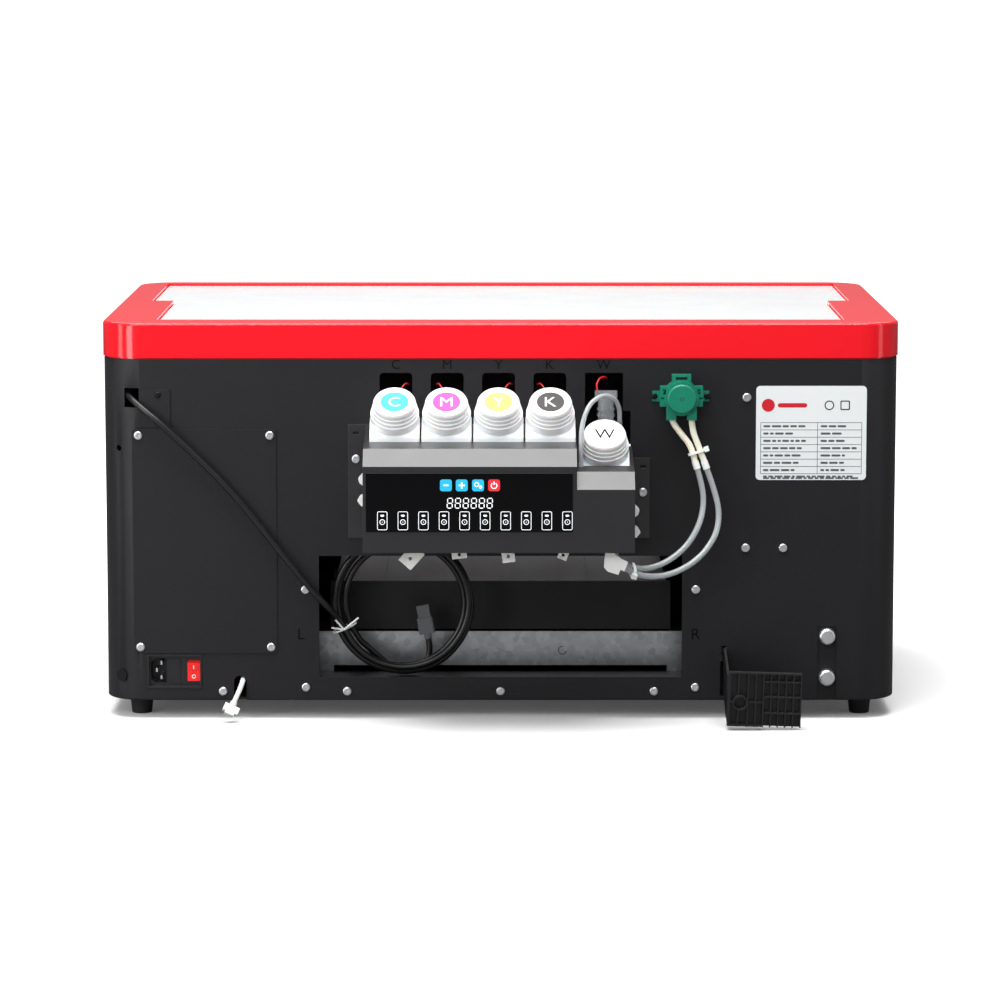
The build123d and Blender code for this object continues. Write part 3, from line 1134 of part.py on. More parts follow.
def build():
    """Every sub-part by node name."""
    parts = {
        "body_shell": make_body_shell(),
        "base_pan": make_base_pan(),
        "front_panel": make_front_panel(),
        "access_cover": make_access_cover(),
        "panel_screws": make_panel_screws(),
        "cable_plate": make_cable_plate(),
        "black_fasteners": make_black_fasteners(),
        "feet": make_feet(),
        "lid_frame": make_lid_frame(),
        "window_panel": make_window_panel(),
        "window_hinges": make_window_hinges(),
        "ink_station": make_ink_station(),
        "control_glass": make_control_glass(),
        "circuit_boards": make_circuit_boards(),
        "colour_tanks": [make_tank(x, COLOUR_EDGE_Z) for x in COLOUR_XS],
        "white_tank": make_tank(WHITE_X, WHITE_EDGE_Z),
        "cap_white": make_cap(WHITE_X, WHITE_EDGE_Z),
        "circulation_pump": make_circulation_pump(),
        "circulation_hose": hose(circulation_route(), 2.2, "circulation_hose"),
        "sensor_leads": make_sensor_leads(),
        "pump_body": make_pump_body(),
        "pump_cap": make_pump_cap(),
        "pump_rotor": make_pump_rotor(),
        "pump_tube": hose(tube_route(), SILICONE_R, "pump_tube"),
        "pump_hose_inner": hose(inner_hose_route(), HOSE_R, "pump_hose_inner"),
        "pump_hose_outer": hose(outer_hose_route(), HOSE_R, "pump_hose_outer"),
        "tube_clips": make_tube_clips(),
        "rating_label": make_rating_label(),
        "power_inlet": make_power_inlet(),
        "rocker_switch": make_rocker(),
        "usb_lead": make_usb_lead(),
        "usb_hank": make_hank(),
        "usb_plug": make_usb_plug(),
        "twist_tie": make_twist_tie(),
        "drain_tube": hose(drain_route(), 2.4, "drain_tube"),
        "drain_clamp": make_drain_clamp(),
        "waste_tray_cover": make_waste_tray_cover(),
        "cross_beams": make_cross_beams(),
        "gantry_frame": make_gantry(),
        "guide_rails": make_guide_rails(),
        "head_carriage": make_head_carriage(),
        "print_head": make_print_head(),
        "uv_lamp": make_uv_lamp(),
        "drive_belt": make_drive_belt(),
        "drive_pulley": make_pulley(1),
        "idler_pulley": make_pulley(-1),
        "drive_motors": make_drive_motors(),
        "feed_screw": make_feed_screw(),
        "bed_cradle": make_bed_cradle(),
        "bed_plate": make_bed_plate(),
        "lift_screw": make_lift_screw(),
        "power_supply": make_power_supply(),
        "psu_fan": make_psu_fan(),
        "capping_station": make_capping_station(),
        "power_button": make_button(button_xs()[0]),
        "feed_button": make_button(button_xs()[1]),
    }
    for name, x in zip(("cyan", "magenta", "yellow", "black"), COLOUR_XS):
        parts[f"cap_{name}"] = make_cap(x, COLOUR_EDGE_Z)
    return parts


os.makedirs("parts", exist_ok=True)
for node, shape in build().items():
    pieces = shape if isinstance(shape, list) else [shape]
    solids = [solid for piece in pieces for solid in piece.solids()]
    export_step(Compound(children=solids) if len(solids) > 1 else solids[0], f"parts/{node}.step")
    print(node, len(solids))
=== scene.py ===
# %% [markdown]
# # A flatbed UV printer, seen from its service side
# The machine is a powder-coated steel box with a red lacquered lid. On its rear hang the ink tanks,
# a touch panel, a small roller pump and the cords. The exact shapes come from the imported CAD frame,
# so this file gives them their finishes and adds what a CAD solid can't show: flexible cords along
# their real routes, printed marks, threads and belt teeth. Every object
# stays at the origin with its place in its mesh, so nothing has to be fitted.

# %% Load the frame
import math
import random

import bmesh
import bpy
from mathutils import Matrix, Vector


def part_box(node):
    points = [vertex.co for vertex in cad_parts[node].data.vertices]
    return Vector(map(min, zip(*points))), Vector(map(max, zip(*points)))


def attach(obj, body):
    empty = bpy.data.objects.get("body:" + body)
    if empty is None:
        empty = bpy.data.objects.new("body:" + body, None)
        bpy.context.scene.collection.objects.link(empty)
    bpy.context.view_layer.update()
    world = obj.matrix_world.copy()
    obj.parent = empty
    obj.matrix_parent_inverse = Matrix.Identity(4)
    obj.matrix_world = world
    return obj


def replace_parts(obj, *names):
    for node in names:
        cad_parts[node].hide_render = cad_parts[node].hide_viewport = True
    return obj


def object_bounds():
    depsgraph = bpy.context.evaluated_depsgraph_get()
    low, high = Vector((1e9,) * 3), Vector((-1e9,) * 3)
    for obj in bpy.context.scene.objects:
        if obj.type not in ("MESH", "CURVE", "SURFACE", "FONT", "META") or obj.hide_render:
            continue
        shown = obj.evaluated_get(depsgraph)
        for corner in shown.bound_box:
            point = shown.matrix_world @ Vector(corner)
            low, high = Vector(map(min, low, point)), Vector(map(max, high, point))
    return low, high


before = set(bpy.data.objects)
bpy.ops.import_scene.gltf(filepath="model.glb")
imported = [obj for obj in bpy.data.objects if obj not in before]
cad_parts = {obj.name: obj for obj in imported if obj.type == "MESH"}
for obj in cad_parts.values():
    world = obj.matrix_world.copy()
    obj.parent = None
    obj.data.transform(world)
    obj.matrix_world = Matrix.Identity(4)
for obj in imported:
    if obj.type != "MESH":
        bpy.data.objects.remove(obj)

MM = 0.001
cad_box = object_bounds()
REAR_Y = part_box("body_shell")[0].y
print("CAD box", [round(v, 4) for corner in cad_box for v in corner])


def place(x, reach, z):
    """A point given in millimetres as across, out from the rear panel, and up."""
    return Vector((x * MM, REAR_Y - reach * MM, z * MM))


# %% [markdown]
# ## The camera
# A long lens flattens the box and keeps its verticals almost straight. The camera stands a little
# above the lid and tips down, so that the top shows as a thin band. Depth of field stays off.

# %% Camera
CAMERA_ACROSS = -0.0005
CAMERA_AWAY = 3.852
CAMERA_UP = 0.739
CAMERA_TIP = 0.136
LENS, SENSOR = 146.9, 36.0

camera_data = bpy.data.cameras.new("studio_camera")
camera_data.lens = LENS
camera_data.sensor_width = SENSOR
camera = bpy.data.objects.new("studio_camera", camera_data)
camera.location = (CAMERA_ACROSS, REAR_Y - CAMERA_AWAY, CAMERA_UP)
camera.rotation_euler = (math.pi / 2 - CAMERA_TIP, 0, 0)
bpy.context.scene.collection.objects.link(camera)
bpy.context.scene.camera = camera
print("camera at", tuple(round(v, 3) for v in camera.location))

# %% [markdown]
# ## Floor, world and lamps
# The printer stands on a plain pale floor. Floor and world are white for the lens but dim for the
# light, so that the black panel keeps its depth while the backdrop stays clean. A large soft lamp
# overhead lights the ink shelf and its bevel, and another behind it washes over the lid. Tall strips
# at the sides draw light lines down the rounded corners, and a low lamp on the left grades the access
# cover. A fill beyond the camera's shoulder opens the shadows under the ink box.

# %% Floor
FLOOR_HALF = 3.2

floor_mesh = bpy.data.meshes.new("floor")
floor_mesh.from_pydata(
    [(-FLOOR_HALF, -FLOOR_HALF, 0), (FLOOR_HALF, -FLOOR_HALF, 0),
     (FLOOR_HALF, FLOOR_HALF, 0), (-FLOOR_HALF, FLOOR_HALF, 0)], [], [(0, 1, 2, 3)])
floor = bpy.data.objects.new("floor", floor_mesh)
bpy.context.scene.collection.objects.link(floor)

# %% World and lamps
LAMPS = {
    # name: place, what it points at, width, depth, watts
    "overhead": ((-0.1, -0.6, 1.75), (0.0, -0.15, 0.2), 1.7, 0.9, 44.0),
    "lid_wash": ((0.0, 0.9, 1.8), (0.0, 0.1, 0.3), 2.4, 1.4, 35.0),
    "left_low": ((-1.05, -1.3, 0.38), (-0.36, -0.21, 0.08), 0.4, 0.8, 6.5),
    "left_strip": ((-1.7, -0.9, 0.6), (-0.3, -0.1, 0.2), 0.35, 1.6, 7.0),
    "right_strip": ((1.7, -0.9, 0.6), (0.3, -0.1, 0.2), 0.35, 1.6, 3.0),
    "front_fill": ((-0.6, -3.0, 2.2), (0.0, -0.2, 0.2), 2.0, 1.2, 34.0),
}


def make_lamp(name, at, toward, width, depth, watts):
    """A soft rectangular lamp that faces a point."""
    data = bpy.data.lights.new(name, "AREA")
    data.shape, data.size, data.size_y, data.energy = "RECTANGLE", width, depth, watts
    lamp = bpy.data.objects.new(name, data)
    lamp.location = at
    lamp.rotation_euler = (Vector(toward) - Vector(at)).to_track_quat("-Z", "Y").to_euler()
    bpy.context.scene.collection.objects.link(lamp)


for lamp_name, settings in LAMPS.items():
    make_lamp(lamp_name, *settings)

SKY_FOR_LIGHT, SKY_FOR_LENS = 0.22, 1.3

world = bpy.data.worlds.new("studio")
world.use_nodes = True
bpy.context.scene.world = world
sky = world.node_tree.nodes["Background"]
glare = world.node_tree.nodes.new("ShaderNodeLightPath")
level = world.node_tree.nodes.new("ShaderNodeMapRange")
level.inputs["To Min"].default_value = SKY_FOR_LIGHT
level.inputs["To Max"].default_value = SKY_FOR_LENS
world.node_tree.links.new(glare.outputs["Is Camera Ray"], level.inputs["Value"])
world.node_tree.links.new(level.outputs["Result"], sky.inputs["Strength"])
sky.inputs["Color"].default_value = (1, 1, 1, 1)
bpy.context.scene.view_settings.view_transform = "Standard"
print("lamps", sorted(LAMPS))

# %% [markdown]
# ## Shared surface effects
# Real finishes are never one flat colour. Four small node groups give what most of them share:
# a slow drift of tone, patches of more or less gloss, a fine grain for the bump, and a little dust
# on faces that look up. A fifth breaks a colour into the crystals of hot-dip zinc. Each is built once
# and placed in a material with that finish's own values.

# %% Shader groups


def shader_group(name, inputs, output):
    """An empty shader group with named inputs and one output, ready to be wired."""
    tree = bpy.data.node_groups.new(name, "ShaderNodeTree")
    for label, kind, value in inputs:
        socket = tree.interface.new_socket(label, in_out="INPUT", socket_type=kind)
        if value is not None:
            socket.default_value = value
    tree.interface.new_socket(*output[:1], in_out="OUTPUT", socket_type=output[1])
    return tree, tree.nodes.new("NodeGroupInput"), tree.nodes.new("NodeGroupOutput")


def noise_in(tree, source, detail):
    """A noise texture driven by a group's Vector and Scale inputs."""
    noise = tree.nodes.new("ShaderNodeTexNoise")
    noise.inputs["Detail"].default_value = detail
    tree.links.new(source.outputs["Vector"], noise.inputs["Vector"])
    tree.links.new(source.outputs["Scale"], noise.inputs["Scale"])
    return noise


VECTOR, FLOAT, COLOUR = "NodeSocketVector", "NodeSocketFloat", "NodeSocketColor"


def make_tone_drift():
    """Colour that grows a little lighter and darker over the surface."""
    inputs = [("Vector", VECTOR, None), ("Colour", COLOUR, None), ("Scale", FLOAT, 8.0),
              ("Amount", FLOAT, 0.1)]
    tree, given, made = shader_group("tone_drift", inputs, ("Colour", COLOUR))
    noise = noise_in(tree, given, 4.0)
    spread = tree.nodes.new("ShaderNodeMath")
    spread.operation = "MULTIPLY_ADD"
    centred = tree.nodes.new("ShaderNodeMath")
    centred.operation = "SUBTRACT"
    centred.inputs[1].default_value = 0.5
    value = tree.nodes.new("ShaderNodeHueSaturation")
    tree.links.new(noise.outputs["Fac"], centred.inputs[0])
    tree.links.new(centred.outputs[0], spread.inputs[0])
    tree.links.new(given.outputs["Amount"], spread.inputs[1])
    spread.inputs[2].default_value = 1.0
    tree.links.new(spread.outputs[0], value.inputs["Value"])
    tree.links.new(given.outputs["Colour"], value.inputs["Color"])
    tree.links.new(value.outputs["Color"], made.inputs["Colour"])
    return tree


def make_rough_patches():
    """Roughness that wanders around its base value."""
    inputs = [("Vector", VECTOR, None), ("Scale", FLOAT, 20.0), ("Base", FLOAT, 0.5),
              ("Spread", FLOAT, 0.1)]
    tree, given, made = shader_group("rough_patches", inputs, ("Roughness", FLOAT))
    noise = noise_in(tree, given, 5.0)
    centred = tree.nodes.new("ShaderNodeMath")
    centred.operation = "SUBTRACT"
    centred.inputs[1].default_value = 0.5
    spread = tree.nodes.new("ShaderNodeMath")
    spread.operation, spread.use_clamp = "MULTIPLY_ADD", True
    tree.links.new(noise.outputs["Fac"], centred.inputs[0])
    tree.links.new(centred.outputs[0], spread.inputs[0])
    tree.links.new(given.outputs["Spread"], spread.inputs[1])
    tree.links.new(given.outputs["Base"], spread.inputs[2])
    tree.links.new(spread.outputs[0], made.inputs["Roughness"])
    return tree


def make_fine_grain():
    """Small bumps, with a second finer layer over the first."""
    inputs = [("Vector", VECTOR, None), ("Scale", FLOAT, 900.0)]
    tree, given, made = shader_group("fine_grain", inputs, ("Height", FLOAT))
    noise = noise_in(tree, given, 2.0)
    cells = tree.nodes.new("ShaderNodeTexVoronoi")
    blend = tree.nodes.new("ShaderNodeMath")
    blend.operation = "MULTIPLY_ADD"
    blend.inputs[1].default_value = 0.4
    tree.links.new(given.outputs["Vector"], cells.inputs["Vector"])
    tree.links.new(given.outputs["Scale"], cells.inputs["Scale"])
    tree.links.new(cells.outputs["Distance"], blend.inputs[0])
    tree.links.new(noise.outputs["Fac"], blend.inputs[2])
    tree.links.new(blend.outputs[0], made.inputs["Height"])
    return tree


def make_settled_dust():
    """Colour with pale dust where the surface looks up."""
    inputs = [("Vector", VECTOR, None), ("Scale", FLOAT, 60.0), ("Normal", VECTOR, None),
              ("Colour", COLOUR, None), ("Amount", FLOAT, 0.1)]
    tree, given, made = shader_group("settled_dust", inputs, ("Colour", COLOUR))
    noise = noise_in(tree, given, 6.0)
    split = tree.nodes.new("ShaderNodeSeparateXYZ")
    upward = tree.nodes.new("ShaderNodeMath")
    upward.operation, upward.use_clamp = "MULTIPLY", True
    amount = tree.nodes.new("ShaderNodeMath")
    amount.operation, amount.use_clamp = "MULTIPLY", True
    mix = tree.nodes.new("ShaderNodeMix")
    mix.data_type = "RGBA"
    tree.links.new(given.outputs["Normal"], split.inputs[0])
    tree.links.new(split.outputs["Z"], upward.inputs[0])
    tree.links.new(noise.outputs["Fac"], upward.inputs[1])
    tree.links.new(upward.outputs[0], amount.inputs[0])
    tree.links.new(given.outputs["Amount"], amount.inputs[1])
    tree.links.new(amount.outputs[0], mix.inputs["Factor"])
    tree.links.new(given.outputs["Colour"], mix.inputs["A"])
    mix.inputs["B"].default_value = (0.42, 0.41, 0.39, 1)
    tree.links.new(mix.outputs["Result"], made.inputs["Colour"])
    return tree


def make_zinc_flowers():
    """Colour broken into the lighter and darker crystals of hot-dip zinc."""
    inputs = [("Vector", VECTOR, None), ("Colour", COLOUR, None), ("Scale", FLOAT, 160.0),
              ("Amount", FLOAT, 0.3)]
    tree, given, made = shader_group("zinc_flowers", inputs, ("Colour", COLOUR))
    cells = tree.nodes.new("ShaderNodeTexVoronoi")
    tree.links.new(given.outputs["Vector"], cells.inputs["Vector"])
    tree.links.new(given.outputs["Scale"], cells.inputs["Scale"])
    grey = tree.nodes.new("ShaderNodeRGBToBW")
    tree.links.new(cells.outputs["Color"], grey.inputs["Color"])
    shade = tree.nodes.new("ShaderNodeMapRange")
    shade.inputs["To Min"].default_value = 0.55
    shade.inputs["To Max"].default_value = 1.25
    tree.links.new(grey.outputs["Val"], shade.inputs["Value"])
    flower = tree.nodes.new("ShaderNodeVectorMath")
    flower.operation = "SCALE"
    tree.links.new(given.outputs["Colour"], flower.inputs[0])
    tree.links.new(shade.outputs["Result"], flower.inputs["Scale"])
    blend = tree.nodes.new("ShaderNodeMix")
    blend.data_type = "VECTOR"
    tree.links.new(given.outputs["Amount"], blend.inputs["Factor"])
    tree.links.new(given.outputs["Colour"], blend.inputs["A"])
    tree.links.new(flower.outputs["Vector"], blend.inputs["B"])
    tree.links.new(blend.outputs["Result"], made.inputs["Colour"])
    return tree


GROUPS = {tree.name: tree for tree in (make_tone_drift(), make_rough_patches(), make_fine_grain(),
                                       make_settled_dust(), make_zinc_flowers())}
print("groups", sorted(GROUPS))

# %% [markdown]
# ## The finishes
# One function lays out the same chain for every finish: object coordinates, moved to the middle of
# the machine, feed the groups, and they feed colour, roughness and bump. The numbers that make
# lacquer differ from powder coat are given in one place. A stretched pattern gives ground steel and
# the drawn bed their lay, and galvanised sheet gets its zinc flowers on top. The colours are those a
# screen shows, from 0 to 255, because they are easier to judge than linear ones.

# %% The general finish
MIDDLE = [-(low + high) / 2 for low, high in zip(*cad_box)]


def srgb(red, green, blue):
    """A colour from 0 to 255 as seen on a screen, made linear."""
    return tuple(((v / 255 + 0.055) / 1.055) ** 2.4 if v > 10 else v / 255 / 12.92
                 for v in (red, green, blue))


def place_group(tree, name, vector, **values):
    """Puts a shared group in a material and sets its inputs."""
    node = tree.nodes.new("ShaderNodeGroup")
    node.node_tree = GROUPS[name]
    tree.links.new(vector, node.inputs["Vector"])
    for label, value in values.items():
        if hasattr(value, "is_output"):
            tree.links.new(value, node.inputs[label])
        else:
            node.inputs[label].default_value = value
    return node


def finish(name, colour, roughness, drift=0.25, spread=0.12, grain=900.0, bump=0.08, dust=0.0,
           turn=(0, 0, 0), stretch=(1, 1, 1), drift_scale=9.0, **sockets):
    """A material: tone drift into colour, patches into roughness, grain into the bump."""
    material = bpy.data.materials.new(name)
    material.use_nodes = True
    tree = material.node_tree
    shader = tree.nodes["Principled BSDF"]
    coordinates = tree.nodes.new("ShaderNodeTexCoord")
    mapping = tree.nodes.new("ShaderNodeMapping")
    mapping.inputs["Location"].default_value = [m * s for m, s in zip(MIDDLE, stretch)]
    mapping.inputs["Rotation"].default_value = turn
    mapping.inputs["Scale"].default_value = stretch
    tree.links.new(coordinates.outputs["Object"], mapping.inputs["Vector"])
    vector = mapping.outputs["Vector"]
    tone = place_group(tree, "tone_drift", vector, Colour=(*colour, 1), Scale=drift_scale, Amount=drift)
    tint = tone.outputs["Colour"]
    if dust:
        tint = place_group(tree, "settled_dust", vector, Scale=45.0, Normal=coordinates.outputs["Normal"],
                           Colour=tint, Amount=dust).outputs["Colour"]
    patches = place_group(tree, "rough_patches", vector, Scale=25.0, Base=roughness, Spread=spread)
    specks = place_group(tree, "fine_grain", vector, Scale=grain)
    relief = tree.nodes.new("ShaderNodeBump")
    relief.inputs["Strength"].default_value = bump
    relief.inputs["Distance"].default_value = 0.0004
    tree.links.new(specks.outputs["Height"], relief.inputs["Height"])
    tree.links.new(tint, shader.inputs["Base Color"])
    tree.links.new(patches.outputs["Roughness"], shader.inputs["Roughness"])
    tree.links.new(relief.outputs["Normal"], shader.inputs["Normal"])
    for socket, value in sockets.items():
        shader.inputs[socket.replace("_", " ")].default_value = value
    return material


# %% Finishes by name
FINISH = {}


def add(name, colour, roughness, **more):
    FINISH[name] = finish(name, srgb(*colour), roughness, **more)


add("black_powder_coat", (24, 24, 27), 0.5, grain=1500, bump=0.22, drift=0.3, dust=0.05,
    Specular_IOR_Level=0.3)
add("satin_black_sheet", (28, 28, 31), 0.36, grain=1700, bump=0.14, drift=0.2, dust=0.04,
    Coat_Weight=0.5, Coat_Roughness=0.3)
add("red_lacquer", (236, 20, 34), 0.16, grain=260, bump=0.012, drift=0.06, spread=0.05,
    Specular_IOR_Level=0.3, Coat_Weight=0.35, Coat_Roughness=0.04)
add("milky_acrylic", (246, 247, 248), 0.14, grain=120, bump=0.01, drift=0.03, spread=0.04,
    Subsurface_Weight=0.25, Subsurface_Scale=0.004, Coat_Weight=0.3, Coat_Roughness=0.05)
add("tank_plastic", (240, 242, 244), 0.36, grain=700, bump=0.05, drift=0.08, drift_scale=40,
    Subsurface_Weight=0.3, Subsurface_Scale=0.003)
add("cap_plastic", (244, 245, 246), 0.32, grain=900, bump=0.06, drift=0.06, drift_scale=60,
    Subsurface_Weight=0.22, Subsurface_Scale=0.003)
add("white_nylon", (236, 237, 234), 0.4, grain=1400, bump=0.12, drift=0.12, drift_scale=90,
    Subsurface_Weight=0.2, Subsurface_Scale=0.002)
add("clear_hose", (214, 220, 222), 0.12, grain=500, bump=0.03, drift=0.1, drift_scale=60,
    Transmission_Weight=0.55, IOR=1.43, Coat_Weight=0.4, Coat_Roughness=0.08)
add("clear_case", (206, 212, 216), 0.1, grain=400, bump=0.03, drift=0.1, drift_scale=70,
    Transmission_Weight=0.7, IOR=1.49)
add("cream_silicone", (236, 232, 214), 0.42, grain=900, bump=0.06, drift=0.08, drift_scale=60,
    Subsurface_Weight=0.3, Subsurface_Scale=0.002)
add("pump_green", (14, 122, 96), 0.3, grain=1200, bump=0.08, drift=0.18, drift_scale=50, dust=0.04)
add("sensor_red", (205, 24, 34), 0.38, grain=1500, bump=0.05, drift=0.12, drift_scale=80)
add("zinc_screw", (228, 230, 232), 0.34, grain=2600, bump=0.16, drift=0.3, drift_scale=260,
    Metallic=1.0)
add("black_screw", (30, 30, 32), 0.32, grain=2000, bump=0.14, drift=0.3, drift_scale=200,
    Metallic=0.7)
add("ground_steel", (200, 202, 206), 0.18, grain=2600, bump=0.1, drift=0.12, stretch=(6, 0.4, 6),
    Metallic=1.0)
add("turned_steel", (178, 180, 184), 0.28, grain=2200, bump=0.16, drift=0.2, Metallic=1.0)
add("galvanised_sheet", (188, 191, 195), 0.34, grain=900, bump=0.08, drift=0.2, drift_scale=30,
    Metallic=1.0)
add("anodised_aluminium", (176, 180, 186), 0.36, grain=2400, bump=0.12, drift=0.12,
    stretch=(1, 0.2, 1), Metallic=1.0)
add("black_anodised", (28, 28, 31), 0.42, grain=2200, bump=0.12, drift=0.2, Metallic=0.6)
add("label_film", (229, 233, 234), 0.24, grain=600, bump=0.02, drift=0.05, drift_scale=30,
    Coat_Weight=0.3, Coat_Roughness=0.12)
add("black_glass", (6, 6, 8), 0.09, grain=300, bump=0.006, drift=0.1, spread=0.05,
    Specular_IOR_Level=0.2)
add("circuit_green", (20, 74, 44), 0.42, grain=700, bump=0.2, drift=0.5, drift_scale=240)
add("rocker_red", (222, 30, 34), 0.2, grain=800, bump=0.03, drift=0.1, drift_scale=90,
    Transmission_Weight=0.25, Emission_Color=(1.0, 0.05, 0.04, 1), Emission_Strength=0.25)
add("black_rubber", (26, 26, 27), 0.72, grain=1300, bump=0.35, drift=0.3, drift_scale=60, dust=0.12)
add("cable_jacket", (17, 17, 19), 0.34, grain=1100, bump=0.1, drift=0.25, drift_scale=60)
add("moulded_black", (24, 25, 28), 0.34, grain=1500, bump=0.26, drift=0.25, drift_scale=40, dust=0.1)
add("clear_overmold", (120, 124, 128), 0.16, grain=500, bump=0.03, drift=0.12, drift_scale=90,
    Transmission_Weight=0.45, IOR=1.47)
add("belt_rubber", (22, 22, 23), 0.6, grain=1800, bump=0.3, drift=0.2, drift_scale=90)
add("ink_cyan", (35, 190, 220), 0.34, grain=900, bump=0.03, drift=0.06, drift_scale=60)
add("ink_magenta", (214, 58, 152), 0.34, grain=900, bump=0.03, drift=0.06, drift_scale=60)
add("ink_yellow", (230, 222, 92), 0.34, grain=900, bump=0.03, drift=0.06, drift_scale=60)
add("ink_black", (42, 35, 35), 0.34, grain=900, bump=0.03, drift=0.1, drift_scale=60)
add("print_white", (238, 240, 240), 0.4, grain=1200, bump=0.03, drift=0.06, drift_scale=60)
add("print_dark", (5, 5, 6), 0.5, grain=1200, bump=0.04, drift=0.1, drift_scale=60,
    Specular_IOR_Level=0.1)
add("print_grey", (86, 90, 94), 0.4, grain=1200, bump=0.03, drift=0.25, drift_scale=200)
add("print_red", (205, 28, 44), 0.35, grain=1200, bump=0.03, drift=0.08, drift_scale=60)
add("key_blue", (36, 170, 216), 0.2, grain=900, bump=0.02, drift=0.1, drift_scale=120,
    Emission_Color=(0.03, 0.42, 0.75, 1), Emission_Strength=0.45)
add("key_red", (214, 40, 50), 0.2, grain=900, bump=0.02, drift=0.1, drift_scale=120,
    Emission_Color=(0.75, 0.04, 0.05, 1), Emission_Strength=0.45)
add("lit_white", (236, 238, 240), 0.3, grain=900, bump=0.02, drift=0.08, drift_scale=120,
    Emission_Color=(0.9, 0.93, 1.0, 1), Emission_Strength=0.55)

# %% The floor's finish
FLOOR_FOR_LIGHT = (0.2, 0.2, 0.2, 1)
SWEEP_NEAR, SWEEP_FAR, NEAR_GLOW = 0.45, 1.1, 0.06

add("studio_floor", (250, 250, 250), 0.75, grain=60, bump=0.01, drift=0.01, spread=0.05,
    Emission_Strength=1.0)


def pale_for_the_lens(material, near, far):
    """A white sweep to the lens, brighter far away, which throws little light up on the black sheet."""
    tree = material.node_tree
    shader = tree.nodes["Principled BSDF"]
    paint = shader.inputs["Base Color"].links[0].from_socket
    rays = tree.nodes.new("ShaderNodeLightPath")
    mix = tree.nodes.new("ShaderNodeMix")
    mix.data_type = "RGBA"
    tree.links.new(rays.outputs["Is Camera Ray"], mix.inputs["Factor"])
    mix.inputs["A"].default_value = FLOOR_FOR_LIGHT
    tree.links.new(paint, mix.inputs["B"])
    tree.links.new(mix.outputs["Result"], shader.inputs["Base Color"])
    place = tree.nodes.new("ShaderNodeTexCoord")
    away = tree.nodes.new("ShaderNodeVectorMath")
    away.operation = "LENGTH"
    tree.links.new(place.outputs["Object"], away.inputs[0])
    sweep = tree.nodes.new("ShaderNodeMapRange")
    sweep.inputs["From Min"].default_value = near
    sweep.inputs["From Max"].default_value = far
    sweep.inputs["To Min"].default_value = NEAR_GLOW
    tree.links.new(away.outputs["Value"], sweep.inputs["Value"])
    seen = tree.nodes.new("ShaderNodeMath")
    seen.operation = "MULTIPLY"
    tree.links.new(sweep.outputs["Result"], seen.inputs[0])
    tree.links.new(rays.outputs["Is Camera Ray"], seen.inputs[1])
    tree.links.new(seen.outputs[0], shader.inputs["Emission Color"])


pale_for_the_lens(FINISH["studio_floor"], SWEEP_NEAR, SWEEP_FAR)
floor_mesh.materials.append(FINISH["studio_floor"])

# %% Zinc flowers


def flower_over(material, scale, amount):
    """Lays the zinc flowers over a finish's own tone."""
    tree = material.node_tree
    shader = tree.nodes["Principled BSDF"]
    tint = shader.inputs["Base Color"].links[0].from_socket
    vector = tree.nodes["Mapping"].outputs["Vector"]
    flowers = place_group(tree, "zinc_flowers", vector, Colour=tint, Scale=scale, Amount=amount)
    tree.links.new(flowers.outputs["Colour"], shader.inputs["Base Color"])


FLOWER_SCALE, FLOWER_AMOUNT = 170.0, 0.55

flower_over(FINISH["galvanised_sheet"], FLOWER_SCALE, FLOWER_AMOUNT)
print(len(FINISH), "finishes")

# %% [markdown]
# ## Cords first
# A cord is a fixed length of something that bends under its own weight, so each is one smooth NURBS
# line through the points of its real route. The data lead comes out beside its cable plate, falls
# across the rear panel, and the rest of it is wound into a hank that stands in the bed opening, tied
# once, with the plug standing behind it. A bevel gives the line its round section.

# %% One smooth cord


def smooth_curve(name, points, radius, material):
    """A round cord whose centreline is one NURBS spline with these control points."""
    curve = bpy.data.curves.new(name, "CURVE")
    curve.dimensions = "3D"
    curve.bevel_depth = radius
    curve.bevel_resolution = 5
    curve.use_fill_caps = True
    spline = curve.splines.new("NURBS")
    spline.points.add(len(points) - 1)
    for control, point in zip(spline.points, points):
        control.co = (*point, 1.0)
    spline.order_u = 3
    spline.use_endpoint_u = True
    spline.resolution_u = 8
    cord = bpy.data.objects.new(name, curve)
    bpy.context.scene.collection.objects.link(cord)
    curve.materials.append(material)
    return cord


# %% The data lead, its hank and its tail
LEAD_RADIUS, LEAD_LENGTH = 0.003, 1.6
LEAD_START = (-343, 300)
LEAD_STEPS = [
    # across, reach, down from the cable plate's middle
    (-13, -9, 13), (-7, 1, 8.5), (3, 7.5, 0.5), (17, 10, -10.5), (35, 9.2, -27.5), (58, 7.6, -49.5),
    (85, 6.8, -77), (108, 6.6, -104.5), (131, 6.8, -134.5), (154, 7.2, -163), (169, 5.6, -181.5),
    (180, -2.4, -194),
]
TAIL_STEPS = [
    # across, back and up from the hank's middle
    (-36, 5, -41.4), (-24.6, 9.5, -53.1), (-7.7, 13.6, -67.2), (3.5, 14, -69.6), (14.6, 14, -66.4),
    (22.8, 14, -58.5), (26.3, 14, -47.6), (24.3, 14, -36.6),
]
HANK_RADIUS = 0.061
STRAND_RADIUS = 0.0065
HANK_FROM, HANK_TO = 197.0, 1303.0
TURN_STEP = 23.0
TWIST_FROM, TWIST = -90.0, 229.0
LOOSENESS, SAG = 0.0005, 0.0006
hank_low, hank_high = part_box("usb_hank")
HANK_MIDDLE = (hank_low + hank_high) / 2


